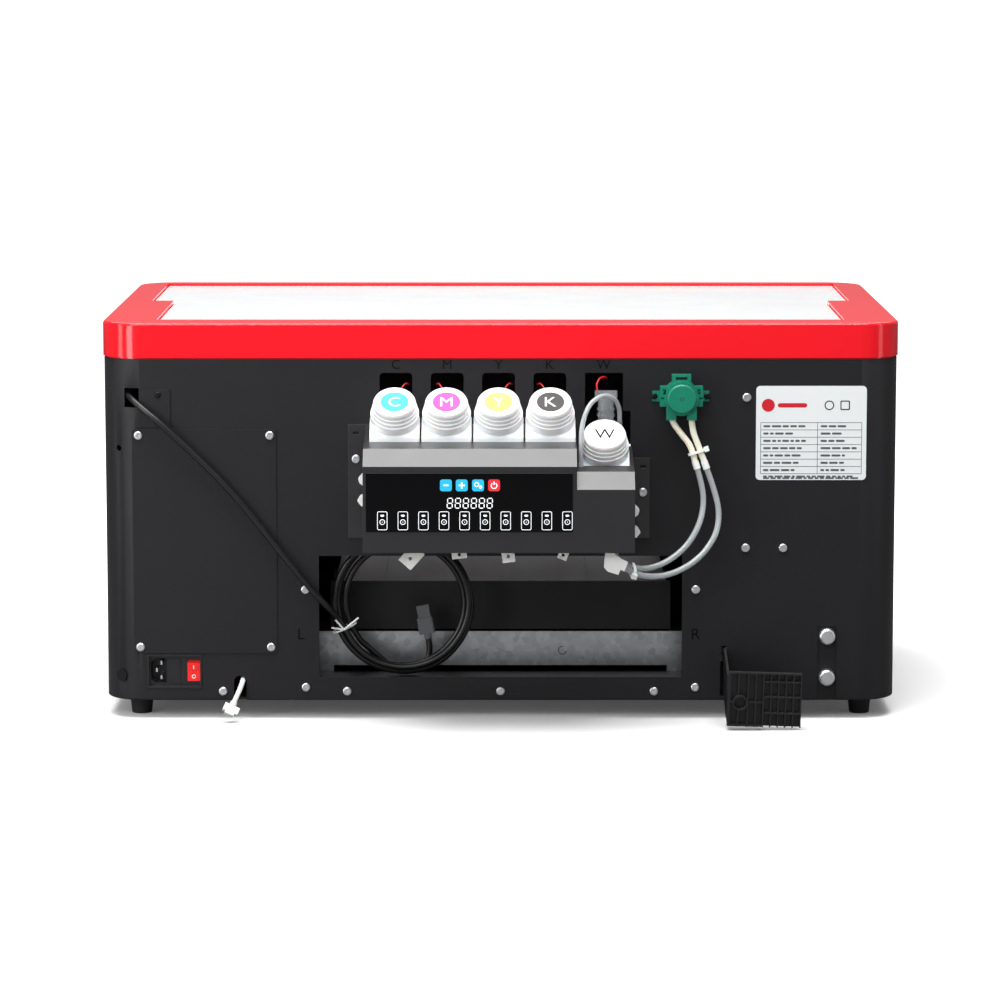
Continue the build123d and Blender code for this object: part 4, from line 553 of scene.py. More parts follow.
def hank_points():
    """The turns: each lies beside the last, and their strands twist slowly round the bundle."""
    rng = random.Random(7)
    count = round((HANK_TO - HANK_FROM) / TURN_STEP)
    points = []
    for k in range(count + 1):
        share = k / count
        angle = math.radians(HANK_FROM + share * (HANK_TO - HANK_FROM))
        around = math.radians(TWIST_FROM + share * TWIST)
        loose = rng.uniform(-LOOSENESS, LOOSENESS) + SAG * math.sin(2.3 * angle)
        radius = HANK_RADIUS + (STRAND_RADIUS + loose) * math.cos(around)
        across, up = radius * math.cos(angle), radius * math.sin(angle)
        points.append(HANK_MIDDLE + Vector((across, STRAND_RADIUS * math.sin(around), up)))
    return points


lead_x, lead_z = LEAD_START
lead_points = [place(lead_x + x, reach, lead_z + z) for x, reach, z in LEAD_STEPS]
tail_points = [HANK_MIDDLE + Vector(step) * MM for step in TAIL_STEPS]
lead = smooth_curve("data_lead", lead_points + hank_points() + tail_points, LEAD_RADIUS,
                    FINISH["cable_jacket"])
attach(lead, "housing")
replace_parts(lead, "usb_lead", "usb_hank")
print("lead control points", len(lead.data.splines[0].points))

# %% The two pump hoses
PUMP_PLACE = (171, 311.6)
HOSE_RADIUS = 0.0028
INNER_STEPS = [
    # across, reach and up from the pump's middle
    (15.25, 22.75, -67), (20.65, 24.55, -85), (21, 29, -103), (16.5, 35, -119.5), (6.5, 42, -136),
    (-7.5, 50, -147.5), (-21, 56, -154), (-34.6, 61, -156.8), (-46, 65, -155.4), (-58, 67.5, -151),
    (-70.5, 67, -142), (-77, 66, -128),
]
OUTER_STEPS = [
    (24.25, 22.75, -67), (30.85, 24.55, -85), (36.2, 28, -107), (33.7, 34, -126), (23.4, 42, -142),
    (9.5, 50, -153.5), (-7.7, 57, -161.5), (-24.5, 64, -164), (-41, 70, -161.5), (-53, 74, -155.5),
    (-62.5, 75.5, -145), (-67.5, 75, -130),
]


def pump_hose(name, steps, node):
    """A clear hose from its joiner under the pump to the floor of the ink box."""
    x, z = PUMP_PLACE
    points = [place(x + dx, reach, z + dz) for dx, reach, dz in steps]
    hose = smooth_curve(name, points, HOSE_RADIUS, FINISH["clear_hose"])
    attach(hose, "housing")
    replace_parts(hose, node)


pump_hose("pump_hose_near", INNER_STEPS, "pump_hose_inner")
pump_hose("pump_hose_far", OUTER_STEPS, "pump_hose_outer")

# %% The drain tube
DRAIN_PLACE = (-249.5, 18)
DRAIN_STEPS = [(3, -12, 21), (2.8, -2, 20.2), (1.5, 6, 15.5), (-1.5, 12, 8.5), (-5, 17, 1)]
DRAIN_RADIUS, DRAIN_LENGTH = 0.0024, 0.0385

drain_points = [place(DRAIN_PLACE[0] + dx, reach, DRAIN_PLACE[1] + dz) for dx, reach, dz in DRAIN_STEPS]
drain = smooth_curve("drain_hose", drain_points, DRAIN_RADIUS, FINISH["white_nylon"])
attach(drain, "housing")
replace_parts(drain, "drain_tube")
print("cords declared")

# %% [markdown]
# ## Finishes for the CAD nodes
# The CAD shapes are right as they are, so each keeps its mesh and only gets a finish. Sheet and
# moulded edges are never razor sharp, so the larger parts also get a small bevel, which catches the
# light as a thin bright line. The touch glass is drawn in by a hair as well: it is the outermost
# face, and this keeps its lit signs, which are real thin shapes, inside the machine's size.

# %% Assign the finishes
NODE_FINISH = {
    "black_powder_coat": ["body_shell", "base_pan", "front_panel", "access_cover", "cable_plate",
                          "bed_cradle"],
    "satin_black_sheet": ["ink_station"],
    "red_lacquer": ["lid_frame"],
    "milky_acrylic": ["window_panel"],
    "tank_plastic": ["colour_tanks", "white_tank"],
    "cap_plastic": ["cap_cyan", "cap_magenta", "cap_yellow", "cap_black", "cap_white"],
    "white_nylon": ["tube_clips", "twist_tie", "drain_clamp", "capping_station", "pump_rotor"],
    "clear_case": ["circulation_pump"],
    "clear_hose": ["circulation_hose"],
    "clear_overmold": ["usb_plug"],
    "sensor_red": ["sensor_leads"],
    "pump_green": ["pump_body", "pump_cap"],
    "cream_silicone": ["pump_tube"],
    "label_film": ["rating_label"],
    "black_glass": ["control_glass"],
    "circuit_green": ["circuit_boards"],
    "rocker_red": ["rocker_switch"],
    "black_rubber": ["feet"],
    "black_screw": ["black_fasteners"],
    "moulded_black": ["power_inlet", "waste_tray_cover", "window_hinges", "head_carriage",
                      "psu_fan", "power_button", "feed_button"],
    "galvanised_sheet": ["cross_beams", "power_supply"],
    "turned_steel": ["gantry_frame", "drive_pulley", "idler_pulley", "lift_screw", "feed_screw"],
    "zinc_screw": ["panel_screws"],
    "ground_steel": ["guide_rails", "print_head"],
    "anodised_aluminium": ["bed_plate", "uv_lamp"],
    "black_anodised": ["drive_motors"],
    "belt_rubber": ["drive_belt"],
    "cable_jacket": ["usb_lead", "usb_hank"],
}
BEVELLED = {
    # node: bevel width in metres
    "body_shell": 0.0008, "access_cover": 0.0004, "ink_station": 0.0006, "cable_plate": 0.0004,
    "waste_tray_cover": 0.0003, "colour_tanks": 0.0016, "white_tank": 0.0016,
    "power_inlet": 0.0004, "control_glass": 0.0003, "head_carriage": 0.0008, "bed_plate": 0.0006,
    "window_panel": 0.0008, "gantry_frame": 0.0005, "uv_lamp": 0.0004,
}
WELD_WITHIN = 0.00001
SHARP_FROM = math.radians(40)
GLASS_DRAWN_IN = 0.0005


def soften(node, width):
    """Welds a node's loose triangles and rounds its sharp edges a little."""
    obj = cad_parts[node]
    weld = obj.modifiers.new("weld", "WELD")
    weld.merge_threshold = WELD_WITHIN
    bevel = obj.modifiers.new("bevel", "BEVEL")
    bevel.width, bevel.segments = width, 2
    bevel.limit_method, bevel.angle_limit = "ANGLE", SHARP_FROM
    bevel.harden_normals = False
    bevel.use_clamp_overlap = True


for finish_name, nodes in NODE_FINISH.items():
    for node in nodes:
        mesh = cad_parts[node].data
        mesh.materials.clear()
        mesh.materials.append(FINISH[finish_name])
for node, width in BEVELLED.items():
    soften(node, width)
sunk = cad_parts["control_glass"].modifiers.new("sunk", "DISPLACE")
sunk.strength, sunk.mid_level = -GLASS_DRAWN_IN, 0.0
print("finished", sum(len(nodes) for nodes in NODE_FINISH.values()), "nodes")

# %% [markdown]
# ## Printed marks
# The touch panel, the cap labels, the panel letters and the rating plate carry thin films of ink.
# They could be painted in a texture, but a film a tenth of a millimetre thick is a real shape: it
# stays sharp from any distance. One function makes a flat shape
# with thickness from its outline, and another turns a letter into the same kind of plate.

# %% Plates and letters
FILM = 0.12
REAR_FACING = Matrix(((1, 0, 0, 0), (0, 0, -1, 0), (0, 1, 0, 0), (0, 0, 0, 1)))


def rounded(x, y, width, height, radius, steps=4):
    """Corner points of a round-cornered rectangle about a middle, anticlockwise, in millimetres."""
    points = []
    for k, (sx, sy) in enumerate(((1, 1), (-1, 1), (-1, -1), (1, -1))):
        cx, cy = x + sx * (width / 2 - radius), y + sy * (height / 2 - radius)
        for j in range(steps + 1):
            turn = math.radians(90 * (k + j / steps))
            points.append((cx + radius * math.cos(turn), cy + radius * math.sin(turn)))
    return points


def circle(x, y, radius, steps=24):
    """Points of a circle, anticlockwise."""
    turns = [2 * math.pi * k / steps for k in range(steps)]
    return [(x + radius * math.cos(t), y + radius * math.sin(t)) for t in turns]


def add_plate(bm, outline, low=0.0, high=FILM):
    """A closed plate over an outline, between two heights, in millimetres."""
    bottom = [bm.verts.new((u, v, low)) for u, v in outline]
    top = [bm.verts.new((u, v, high)) for u, v in outline]
    bm.faces.new(top)
    bm.faces.new(bottom[::-1])
    for a, b in zip(range(len(outline)), [*range(1, len(outline)), 0]):
        bm.faces.new((bottom[a], bottom[b], top[b], top[a]))


def add_frame(bm, outer, inner, low=0.0, high=FILM):
    """A closed flat ring between two outlines that have the same number of points."""
    count = len(outer)
    rings = [[bm.verts.new((u, v, h)) for u, v in line]
             for line, h in ((outer, low), (outer, high), (inner, high), (inner, low))]
    for first, second in zip(rings, [*rings[1:], rings[0]]):
        for a in range(count):
            b = (a + 1) % count
            bm.faces.new((first[a], first[b], second[b], second[a]))


def mesh_object(bm, name, matrix, material):
    """Turns a bmesh in millimetres into an object in place, not yet a piece."""
    bmesh.ops.recalc_face_normals(bm, faces=bm.faces)
    mesh = bpy.data.meshes.new(name)
    bm.to_mesh(mesh)
    bm.free()
    mesh.transform(Matrix.Scale(MM, 4))
    mesh.transform(matrix)
    mesh.materials.append(material)
    obj = bpy.data.objects.new(name, mesh)
    bpy.context.scene.collection.objects.link(obj)
    return obj


def settle(obj, body):
    """Makes an object a piece that rides on a body."""
    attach(obj, body)
    return obj


def piece_from(bm, name, matrix, body, material):
    """A bmesh straight to a piece."""
    return settle(mesh_object(bm, name, matrix, material), body)


def add_letter(bm, text, height, x=0.0, y=0.0, low=0.0, high=FILM):
    """A letter as a closed plate about a middle point."""
    curve = bpy.data.curves.new("letter", "FONT")
    curve.body, curve.size = text, 1.0
    holder = bpy.data.objects.new("letter", curve)
    flat = bpy.data.meshes.new_from_object(holder)
    corners = [v.co.copy() for v in flat.vertices]
    lowest = Vector([min(c[i] for c in corners) for i in range(2)])
    highest = Vector([max(c[i] for c in corners) for i in range(2)])
    size, middle = height / (highest.y - lowest.y), (lowest + highest) / 2
    letter = bmesh.new()
    letter.from_mesh(flat)
    bmesh.ops.remove_doubles(letter, verts=letter.verts, dist=0.0001)
    raised = bmesh.ops.extrude_face_region(letter, geom=letter.faces[:])
    lifted = {v for v in raised["geom"] if isinstance(v, bmesh.types.BMVert)}
    for v in letter.verts:
        v.co = ((v.co.x - middle.x) * size + x, (v.co.y - middle.y) * size + y,
                high if v in lifted else low)
    bmesh.ops.recalc_face_normals(letter, faces=letter.faces)
    made = bpy.data.meshes.new("letter")
    letter.to_mesh(made)
    letter.free()
    bm.from_mesh(made)
    for data in (made, flat):
        bpy.data.meshes.remove(data)
    bpy.data.objects.remove(holder)
    bpy.data.curves.remove(curve)


def on_rear(reach):
    """The matrix that lays a flat drawing on the rear panel, this far out."""
    return Matrix.Translation((0, REAR_Y - reach * MM, 0)) @ REAR_FACING


print("mark makers ready")

# %% [markdown]
# ## Copies in a row
# The display digits, the indicator boxes and the belt's teeth repeat at a fixed step. Instead of
# looping in Python, a small Geometry Nodes tree lays points on a line and puts the drawn piece on
# each of them. The tree has named inputs for the count, the step and the finish, and ends in Realize
# Instances and Set Material, so the result is one plain mesh.

# %% Row tree


def geometry_tree(name, inputs):
    """A geometry tree with one mesh in, one mesh out and named inputs between."""
    tree = bpy.data.node_groups.new(name, "GeometryNodeTree")
    tree.interface.new_socket("Geometry", in_out="INPUT", socket_type="NodeSocketGeometry")
    for label, kind in inputs:
        tree.interface.new_socket(label, in_out="INPUT", socket_type=kind)
    tree.interface.new_socket("Geometry", in_out="OUTPUT", socket_type="NodeSocketGeometry")
    return tree, tree.nodes.new("NodeGroupInput"), tree.nodes.new("NodeGroupOutput")


def finish_tree(tree, given, made, geometry):
    """Realizes the instances and sets the material, as every tree here ends."""
    realize = tree.nodes.new("GeometryNodeRealizeInstances")
    paint = tree.nodes.new("GeometryNodeSetMaterial")
    tree.links.new(geometry, realize.inputs["Geometry"])
    tree.links.new(realize.outputs["Geometry"], paint.inputs["Geometry"])
    tree.links.new(given.outputs["Finish"], paint.inputs["Material"])
    tree.links.new(paint.outputs["Geometry"], made.inputs["Geometry"])


def make_row_tree():
    """Copies of the mesh it is given, in a straight row."""
    inputs = [("Count", "NodeSocketInt"), ("Step", "NodeSocketVector"), ("Finish", "NodeSocketMaterial")]
    tree, given, made = geometry_tree("copies_in_a_row", inputs)
    line = tree.nodes.new("GeometryNodeMeshLine")
    copies = tree.nodes.new("GeometryNodeInstanceOnPoints")
    tree.links.new(given.outputs["Count"], line.inputs["Count"])
    tree.links.new(given.outputs["Step"], line.inputs["Offset"])
    tree.links.new(line.outputs["Mesh"], copies.inputs["Points"])
    tree.links.new(given.outputs["Geometry"], copies.inputs["Instance"])
    finish_tree(tree, given, made, copies.outputs["Instances"])
    return tree


ROW_TREE = make_row_tree()


def grown(obj, tree, **values):
    """Runs a tree on a piece and keeps the result as the piece's own plain mesh."""
    modifier = obj.modifiers.new("grow", "NODES")
    modifier.node_group = tree
    sockets = {item.name: item.identifier for item in tree.interface.items_tree
               if item.in_out == "INPUT"}
    for label, value in values.items():
        modifier[sockets[label]] = value
    evaluated = obj.evaluated_get(bpy.context.evaluated_depsgraph_get())
    mesh = bpy.data.meshes.new_from_object(evaluated)
    obj.modifiers.remove(modifier)
    mesh.name = obj.name
    obj.data = mesh
    print(obj.name, len(mesh.polygons), "faces")
    return obj


print("row tree", [item.name for item in ROW_TREE.interface.items_tree])

# %% [markdown]
# ## The touch panel
# Behind the black glass sit four lit keys, a six-figure display and ten ink indicators. Each key is
# a rounded square with a plain sign: less, more, settings and power. Each figure is seven bars.

# %% Touch keys
GLASS_FACE = 101.2
GLASS_REACH = GLASS_FACE - 2 * FILM
KEY_SIZE, KEY_ROUND, KEY_Z = 11.0, 2.2, 239.4
KEY_XS = (-50.7, -36.0, -20.9, -6.0)
GLASS = on_rear(GLASS_REACH)


def make_keys(name, xs, material):
    bm = bmesh.new()
    for x in xs:
        add_plate(bm, rounded(x, KEY_Z, KEY_SIZE, KEY_SIZE, KEY_ROUND))
    return piece_from(bm, name, GLASS, "housing", material)


make_keys("touch_keys", KEY_XS[:3], FINISH["key_blue"])
make_keys("power_key", KEY_XS[3:], FINISH["key_red"])

# %% Signs on the keys
SIGN = {"low": FILM, "high": 2 * FILM}


def bar(bm, x, y, width, height, **span):
    add_plate(bm, rounded(x, y, width, height, min(width, height) / 2.1, 2), **span)


def make_signs():
    """Less, more, a pair of settings rings, and a broken ring with a stroke for power."""
    bm = bmesh.new()
    less, more, settings, power = KEY_XS
    bar(bm, less, KEY_Z, 5.2, 1.3, **SIGN)
    bar(bm, more, KEY_Z, 6.0, 1.4, **SIGN)
    for side in (-1, 1):
        bar(bm, more, KEY_Z + side * 2.0, 1.4, 2.5, **SIGN)
    for x, y, radius in ((settings - 1.2, KEY_Z + 0.8, 2.3), (settings + 2.4, KEY_Z - 1.6, 1.5)):
        add_frame(bm, circle(x, y, radius), circle(x, y, radius - 0.8), **SIGN)
    turns = [math.radians(125 + 290 * k / 20) for k in range(21)]
    arc = [(power + 3.1 * math.cos(t), KEY_Z - 0.3 + 3.1 * math.sin(t)) for t in turns]
    arc += [(power + 2.2 * math.cos(t), KEY_Z - 0.3 + 2.2 * math.sin(t)) for t in reversed(turns)]
    add_plate(bm, arc, **SIGN)
    bar(bm, power, KEY_Z + 2.0, 1.0, 3.4, **SIGN)
    return piece_from(bm, "key_signs", GLASS, "housing", FINISH["lit_white"])


make_signs()

# %% Display figures
DIGIT_X, DIGIT_Z, DIGIT_PITCH = -47.0, 222.7, 7.4
DIGIT_W, DIGIT_H, SEGMENT = 4.6, 9.2, 0.85
DIGIT_LEAN = 0.08


def make_digits():
    """One figure of seven bars, repeated six times."""
    bm = bmesh.new()
    half_w, half_h = DIGIT_W / 2, DIGIT_H / 2
    for v in (-half_h, 0, half_h):
        bar(bm, v * DIGIT_LEAN, v, DIGIT_W - 1.1, SEGMENT)
    for side in (-1, 1):
        for v in (-half_h / 2, half_h / 2):
            bar(bm, side * half_w + v * DIGIT_LEAN, v, SEGMENT, half_h - 1.0)
    first = GLASS @ Matrix.Translation((DIGIT_X * MM, DIGIT_Z * MM, 0))
    figure = mesh_object(bm, "display_digits", first, FINISH["lit_white"])
    grown(figure, ROW_TREE, Count=6, Step=(DIGIT_PITCH * MM, 0, 0), Finish=FINISH["lit_white"])
    return settle(figure, "housing")


make_digits()

# %% Ink indicators
BOX_X, BOX_Z, BOX_PITCH = -109.8, 206.2, 19.1


def make_indicators():
    """A thin frame with a ring and a small block in it, repeated ten times."""
    bm = bmesh.new()
    add_frame(bm, rounded(0, 0, 9.5, 17.5, 1.6), rounded(0, 0, 8.4, 16.4, 1.1))
    add_frame(bm, circle(0, -1.2, 2.6, 20), circle(0, -1.2, 2.0, 20))
    bar(bm, 0, -1.2, 0.9, 0.9)
    bar(bm, 0, 4.8, 3.6, 1.7)
    first = GLASS @ Matrix.Translation((BOX_X * MM, BOX_Z * MM, 0))
    box = mesh_object(bm, "ink_indicators", first, FINISH["lit_white"])
    grown(box, ROW_TREE, Count=10, Step=(BOX_PITCH * MM, 0, 0), Finish=FINISH["lit_white"])
    return settle(box, "housing")


make_indicators()

# %% [markdown]
# ## Letters on the panel and the caps
# Single letters name the ink colours and the two sides. The panel's letters are dark film on black
# powder coat, so they show by their gloss. The caps carry a round coloured label sunk in the lid's
# recess. Each label rides on its own cap, so it turns with it.

# %% Panel letters
COLOUR_XS = (-99.3, -50.6, -1.9, 46.8)
WHITE_X = 97.7
LETTER_Z, LETTER_HEIGHT = 341.7, 8.6
SIDE_LETTERS = (("L", -190.5), ("R", 187.1))
SIDE_LETTER_Z, SIDE_LETTER_HEIGHT = 82.5, 10.5
ON_PAINT = {"low": 0.02, "high": 0.1}


def make_panel_letters():
    bm = bmesh.new()
    for letter, x in zip("CMYKW", (*COLOUR_XS, WHITE_X)):
        add_letter(bm, letter, LETTER_HEIGHT, x, LETTER_Z, **ON_PAINT)
    for letter, x in SIDE_LETTERS:
        add_letter(bm, letter, SIDE_LETTER_HEIGHT, x, SIDE_LETTER_Z, **ON_PAINT)
    return piece_from(bm, "panel_letters", on_rear(0), "housing", FINISH["print_dark"])


make_panel_letters()

# %% Cap labels
CAP_TILT = math.radians(37)
TANK_REACH, TANK_W = 62.0, 47.0
COLOUR_EDGE_Z, WHITE_EDGE_Z = 280.4, 250.2
LABEL_AT, LABEL_TOP = 22.1, 22.36
LABEL_RADIUS, LABEL_LETTER = 12.9, 12.4
CAPS = {
    # body: across, height of the tank's front edge, letter, disc finish, letter finish
    "cap_cyan": (COLOUR_XS[0], COLOUR_EDGE_Z, "C", "ink_cyan", "print_white"),
    "cap_magenta": (COLOUR_XS[1], COLOUR_EDGE_Z, "M", "ink_magenta", "print_white"),
    "cap_yellow": (COLOUR_XS[2], COLOUR_EDGE_Z, "Y", "ink_yellow", "print_white"),
    "cap_black": (COLOUR_XS[3], COLOUR_EDGE_Z, "K", "ink_black", "print_white"),
    "cap_white": (WHITE_X, WHITE_EDGE_Z, "W", "print_white", "print_dark"),
}


def cap_plane(x, edge_z):
    """The plane at the foot of a cap: its middle is the cap's axis, tipped back from the viewer."""
    half = TANK_W / 2
    middle = place(x, TANK_REACH - half * math.cos(CAP_TILT), edge_z + half * math.sin(CAP_TILT))
    turn = Matrix.Rotation(CAP_TILT, 4, "X")
    return Matrix.Translation(middle) @ turn


for body, (x, edge_z, letter, disc_finish, letter_finish) in CAPS.items():
    plane = cap_plane(x, edge_z)
    disc = bmesh.new()
    add_plate(disc, circle(0, 0, LABEL_RADIUS, 48), LABEL_AT, LABEL_TOP)
    piece_from(disc, f"{body}_label", plane, body, FINISH[disc_finish])
    sign = bmesh.new()
    add_letter(sign, letter, LABEL_LETTER, low=LABEL_TOP, high=LABEL_TOP + 0.1)
    piece_from(sign, f"{body}_letter", plane, body, FINISH[letter_finish])
print("labelled", len(CAPS), "caps")

# %% [markdown]
# ## The rating plate
# The plate on the right is a printed film with a table. No words are drawn: thin ruled lines give
# the table, and grey dashes of uneven length stand for the small print, as they look from where the
# machine is seen.

# %% Rating plate print
PLATE_X, PLATE_Z = 295.3, 276.2
PLATE_REACH = 0.5
HEADING_Z = 26.5
RULES_Z = [round(10.0 - 7.0 * k, 1) for k in range(9)]
RULE_HALF, RULE_WIDTH = 48.0, 0.5
PLATE_INK = {"low": 0.0, "high": 0.08}


def make_plate_print():
    """Ruled table, dashes of small print, and a short heading bar."""
    rng = random.Random(11)
    lines, dashes = bmesh.new(), bmesh.new()
    for z in RULES_Z[:8]:
        add_plate(lines, rounded(0, z, 2 * RULE_HALF, RULE_WIDTH, 0.2, 1), **PLATE_INK)
    top, bottom = RULES_Z[0], RULES_Z[7]
    for x in (-RULE_HALF, 6.0, RULE_HALF):
        add_plate(lines, rounded(x, (top + bottom) / 2, RULE_WIDTH, top - bottom, 0.2, 1), **PLATE_INK)
    for row, z in enumerate(RULES_Z[:7]):
        for start, stop in ((-45.5, 3.0), (9.0, 42.0)):
            x, end = start, start + rng.uniform(0.55, 0.95) * (stop - start)
            while x < end:
                width = rng.uniform(3.0, 9.5)
                add_plate(dashes, rounded(x + width / 2, z - 3.5, width, 2.0, 0.8, 2), **PLATE_INK)
                x += width + 1.3
    for z in (-43.2, RULES_Z[8] + 4.4):
        x = -45.5
        while x < 38:
            width = rng.uniform(2.5, 8.5)
            add_plate(dashes, rounded(x + width / 2, min(z, -38.6), width, 1.7, 0.7, 2), **PLATE_INK)
            x += width + 1.2
    at = on_rear(PLATE_REACH) @ Matrix.Translation((PLATE_X * MM, PLATE_Z * MM, 0))
    piece_from(lines, "plate_table", at, "housing", FINISH["print_grey"])
    piece_from(dashes, "plate_small_print", at, "housing", FINISH["print_grey"])
    heading = bmesh.new()
    add_plate(heading, circle(-41.0, HEADING_Z, 6.2, 32), **PLATE_INK)
    bar(heading, -18.0, HEADING_Z, 28.0, 4.2, **PLATE_INK)
    piece_from(heading, "plate_heading", at, "housing", FINISH["print_red"])
    marks = bmesh.new()
    add_frame(marks, circle(17.0, HEADING_Z, 4.6), circle(17.0, HEADING_Z, 3.6), **PLATE_INK)
    add_frame(marks, rounded(32.0, HEADING_Z, 9.0, 9.0, 1.0), rounded(32.0, HEADING_Z, 7.0, 7.0, 0.6),
              **PLATE_INK)
    piece_from(marks, "plate_marks", at, "housing", FINISH["print_dark"])


make_plate_print()

# %% [markdown]
# ## Threads and belt teeth
# The two lead screws are plain bars in the CAD model. A real one is a helix, which is a shape that
# follows a rule: a Geometry Nodes tree draws a spiral curve, sweeps a small six-sided section along it
# and joins it to the core. The belt's teeth are one small wedge, repeated along each straight run.

# %% Thread tree


def make_thread_tree():
    """A helical ridge on a round core, standing along Z from zero."""
    inputs = [("Turns", "NodeSocketFloat"), ("Length", "NodeSocketFloat"), ("Core", "NodeSocketFloat"),
              ("Depth", "NodeSocketFloat"), ("Finish", "NodeSocketMaterial")]
    tree, given, made = geometry_tree("lead_screw", inputs)
    spiral = tree.nodes.new("GeometryNodeCurveSpiral")
    spiral.inputs["Resolution"].default_value = 20
    for label in ("Start Radius", "End Radius"):
        tree.links.new(given.outputs["Core"], spiral.inputs[label])
    tree.links.new(given.outputs["Turns"], spiral.inputs["Rotations"])
    tree.links.new(given.outputs["Length"], spiral.inputs["Height"])
    profile = tree.nodes.new("GeometryNodeCurvePrimitiveCircle")
    profile.inputs["Resolution"].default_value = 6
    tree.links.new(given.outputs["Depth"], profile.inputs["Radius"])
    sweep = tree.nodes.new("GeometryNodeCurveToMesh")
    sweep.inputs["Fill Caps"].default_value = True
    tree.links.new(spiral.outputs["Curve"], sweep.inputs["Curve"])
    tree.links.new(profile.outputs["Curve"], sweep.inputs["Profile Curve"])
    core = tree.nodes.new("GeometryNodeMeshCylinder")
    core.inputs["Vertices"].default_value = 32
    tree.links.new(given.outputs["Core"], core.inputs["Radius"])
    tree.links.new(given.outputs["Length"], core.inputs["Depth"])
    lift = tree.nodes.new("GeometryNodeTransform")
    half = tree.nodes.new("ShaderNodeCombineXYZ")
    middle = tree.nodes.new("ShaderNodeMath")
    middle.operation = "MULTIPLY"
    middle.inputs[1].default_value = 0.5
    tree.links.new(given.outputs["Length"], middle.inputs[0])
    tree.links.new(middle.outputs[0], half.inputs["Z"])
    tree.links.new(half.outputs["Vector"], lift.inputs["Translation"])
    tree.links.new(core.outputs["Mesh"], lift.inputs["Geometry"])
    join = tree.nodes.new("GeometryNodeJoinGeometry")
    for part in (sweep.outputs["Mesh"], lift.outputs["Geometry"]):
        tree.links.new(part, join.inputs["Geometry"])
    finish_tree(tree, given, made, join.outputs["Geometry"])
    return tree


THREAD_TREE = make_thread_tree()

# %% Lead screws
THREAD_DEPTH = 0.0006


def make_lead_screw(name, node, body, lead, axis):
    """A threaded bar that stands for a CAD bar along Y or Z, no wider than it."""
    low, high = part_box(node)
    length = high[axis] - low[axis]
    across = 0 if axis else 1
    radius = (high[across] - low[across]) / 2
    host = bpy.data.objects.new(name, bpy.data.meshes.new(name))
    bpy.context.scene.collection.objects.link(host)
    grown(host, THREAD_TREE, Turns=length / lead, Length=length - 2 * THREAD_DEPTH,
          Core=radius - THREAD_DEPTH, Depth=THREAD_DEPTH, Finish=FINISH["turned_steel"])
    middle = (low + high) / 2
    start = Vector(middle)
    start[axis] = low[axis] + THREAD_DEPTH
    turn = Matrix.Rotation(math.radians(-90), 4, "X") if axis == 1 else Matrix.Identity(4)
    host.data.transform(Matrix.Translation(start) @ turn)
    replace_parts(settle(host, body), node)
    return host


make_lead_screw("feed_lead_screw", "feed_screw", "feed_screw", 0.008, 1)
make_lead_screw("bed_lift_screw", "lift_screw", "lift_screw", 0.004, 2)

# %% Belt teeth
TOOTH_PITCH, TOOTH_DEPTH = 0.005, 0.0007
belt_low, belt_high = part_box("drive_belt")


def make_belt_teeth(name, z, side):
    """A row of wedges on the inner face of one straight run."""
    tooth = bmesh.new()
    root, tip, width = 1.5, 0.9, (belt_high.y - belt_low.y) / MM
    depth = side * TOOTH_DEPTH / MM
    section = [(-root, 0), (root, 0), (tip, depth), (-tip, depth)]
    front = [tooth.verts.new((u, 0, w)) for u, w in section]
    back = [tooth.verts.new((u, width, w)) for u, w in section]
    tooth.faces.new(front)
    tooth.faces.new(back[::-1])
    for a in range(4):
        b = (a + 1) % 4
        tooth.faces.new((front[a], front[b], back[b], back[a]))
    run = belt_high.x - belt_low.x - 0.05
    count = int(run / TOOTH_PITCH)
    start = Matrix.Translation((-count * TOOTH_PITCH / 2, belt_low.y, z))
    piece = mesh_object(tooth, name, start, FINISH["belt_rubber"])
    grown(piece, ROW_TREE, Count=count, Step=(TOOTH_PITCH, 0, 0), Finish=FINISH["belt_rubber"])
    return settle(piece, "housing")


make_belt_teeth("belt_teeth_upper", belt_high.z - 0.00085, -1)
make_belt_teeth("belt_teeth_lower", belt_low.z + 0.00085, 1)

# %% [markdown]
# ## Small metal and marks
# Three plated pins stand in the mains socket, the pump's shaft shows in the middle of its cap, and
# the rocker carries its two usual signs. They are separate pieces because each has its own finish,
# and the shaft and the signs move with the rotor and the rocker.

# %% Socket pins
SOCKET_X, SOCKET_Z = -327.7, 46.2
PINS = ((2.2, 7.0), (-2.2, 0.0), (2.2, -7.0))


def add_box(bm, low, high):
    """A closed box between two corners."""
    made = bmesh.ops.create_cube(bm, size=1.0)
    for v in made["verts"]:
        v.co = [l + (c + 0.5) * (h - l) for c, l, h in zip(v.co, low, high)]


def make_socket_pins():
    bm = bmesh.new()
    for dx, dz in PINS:
        x, z = SOCKET_X + dx, SOCKET_Z + dz
        add_box(bm, (x - 1.06, z - 2.06, -19.5), (x + 1.06, z + 2.06, -6.9))
    bmesh.ops.bevel(bm, geom=bm.edges[:], offset=0.3, segments=2, affect="EDGES")
    return piece_from(bm, "socket_pins", on_rear(0), "housing", FINISH["zinc_screw"])


make_socket_pins()

# %% Pump shaft
SHAFT_RINGS = ((1.4, 26.2), (1.4, 29.4), (1.0, 29.8))  # radius, reach


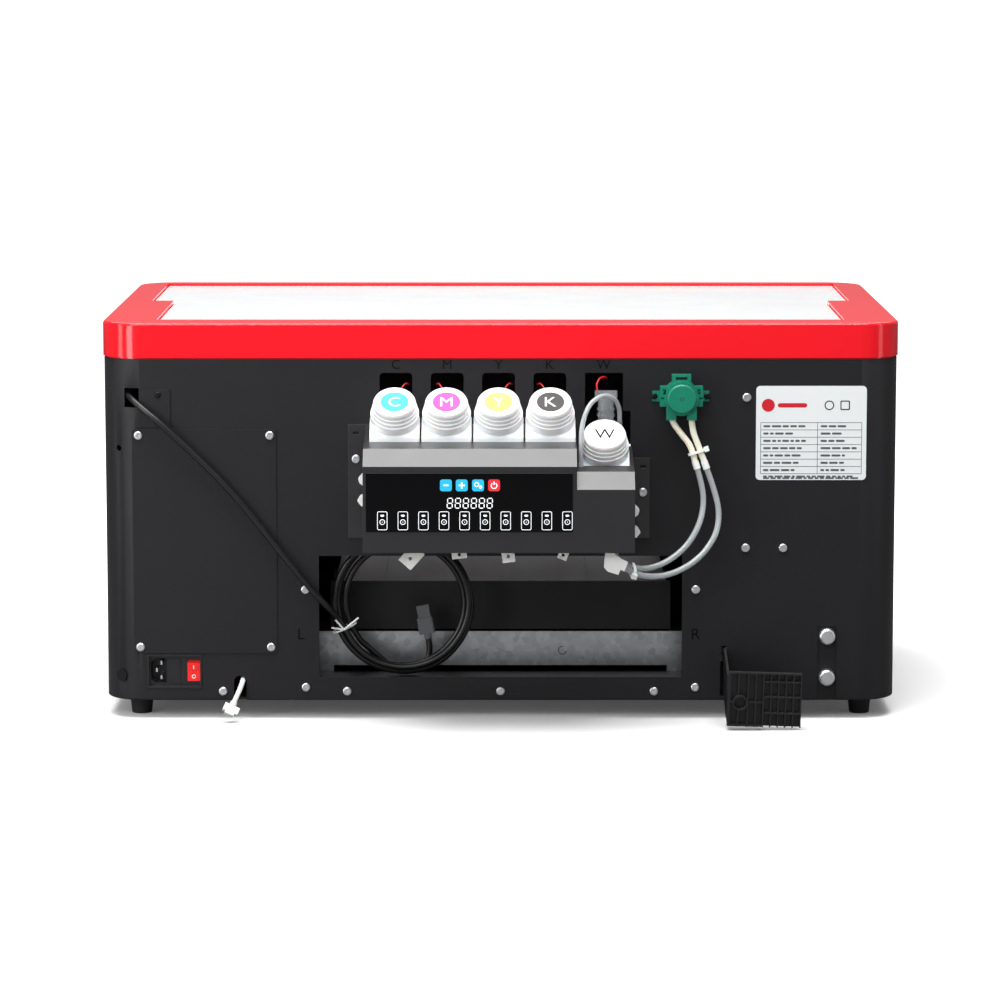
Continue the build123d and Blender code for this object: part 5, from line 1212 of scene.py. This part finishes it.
def make_shaft_tip():
    """The end of the rotor's shaft, with a turned chamfer."""
    bm = bmesh.new()
    count = 20
    x, z = PUMP_PLACE
    loops = [[bm.verts.new((x + r * math.cos(2 * math.pi * k / count),
                            z + r * math.sin(2 * math.pi * k / count), h)) for k in range(count)]
             for r, h in SHAFT_RINGS]
    for first, second in zip(loops, loops[1:]):
        for a in range(count):
            b = (a + 1) % count
            bm.faces.new((first[a], first[b], second[b], second[a]))
    bm.faces.new(loops[0][::-1])
    bm.faces.new(loops[-1])
    return piece_from(bm, "pump_shaft_tip", on_rear(0), "pump_rotor",
                      FINISH["turned_steel"])


make_shaft_tip()

# %% Rocker signs
ROCKER_TILT = math.radians(7.0)
ROCKER_PIVOT = Vector((-0.2941, REAR_Y + 0.009, 0.0462))


def make_rocker_signs():
    """A stroke and a ring, laid on the two halves of the tipped rocker."""
    face = bmesh.new()
    bar(face, 0, 4.6, 0.9, 3.6, low=0.0, high=0.12)
    add_frame(face, circle(0, -4.6, 1.9), circle(0, -4.6, 1.25), low=0.0, high=0.12)
    for v in face.verts:
        v.co.z += 2.4 + 1.0 * abs(v.co.y) / 9.0 + 4.2
    lay = Matrix.Translation(ROCKER_PIVOT) @ Matrix.Rotation(ROCKER_TILT, 4, "X") @ REAR_FACING
    return piece_from(face, "rocker_signs", lay, "rocker", FINISH["print_white"])


make_rocker_signs()
# %% Black blocks in the front mouth, painted shade
MOUTH_HALF, MOUTH_LOW, MOUTH_HIGH = 175.0, 70.0, 208.0
FRONT_REACH = -468.0


def make_painted_shade_blocks():
    """A black rubber block behind each side of the front mouth, just clear of the sliding bed: painted
    shade that blocks the light seen through the machine.
    """
    bm = bmesh.new()
    for side in (-1, 1):
        near, far = sorted((side * (MOUTH_HALF - 9.0), side * (MOUTH_HALF + 3.0)))
        add_box(bm, (near, MOUTH_LOW - 2, FRONT_REACH), (far, MOUTH_HIGH + 2, FRONT_REACH + 2.5))
    return piece_from(bm, "painted_shade_blocks", on_rear(0), "housing", FINISH["black_rubber"])


# These blocks are painted shade, not a real part of the machine.
make_painted_shade_blocks()
print("small pieces made")
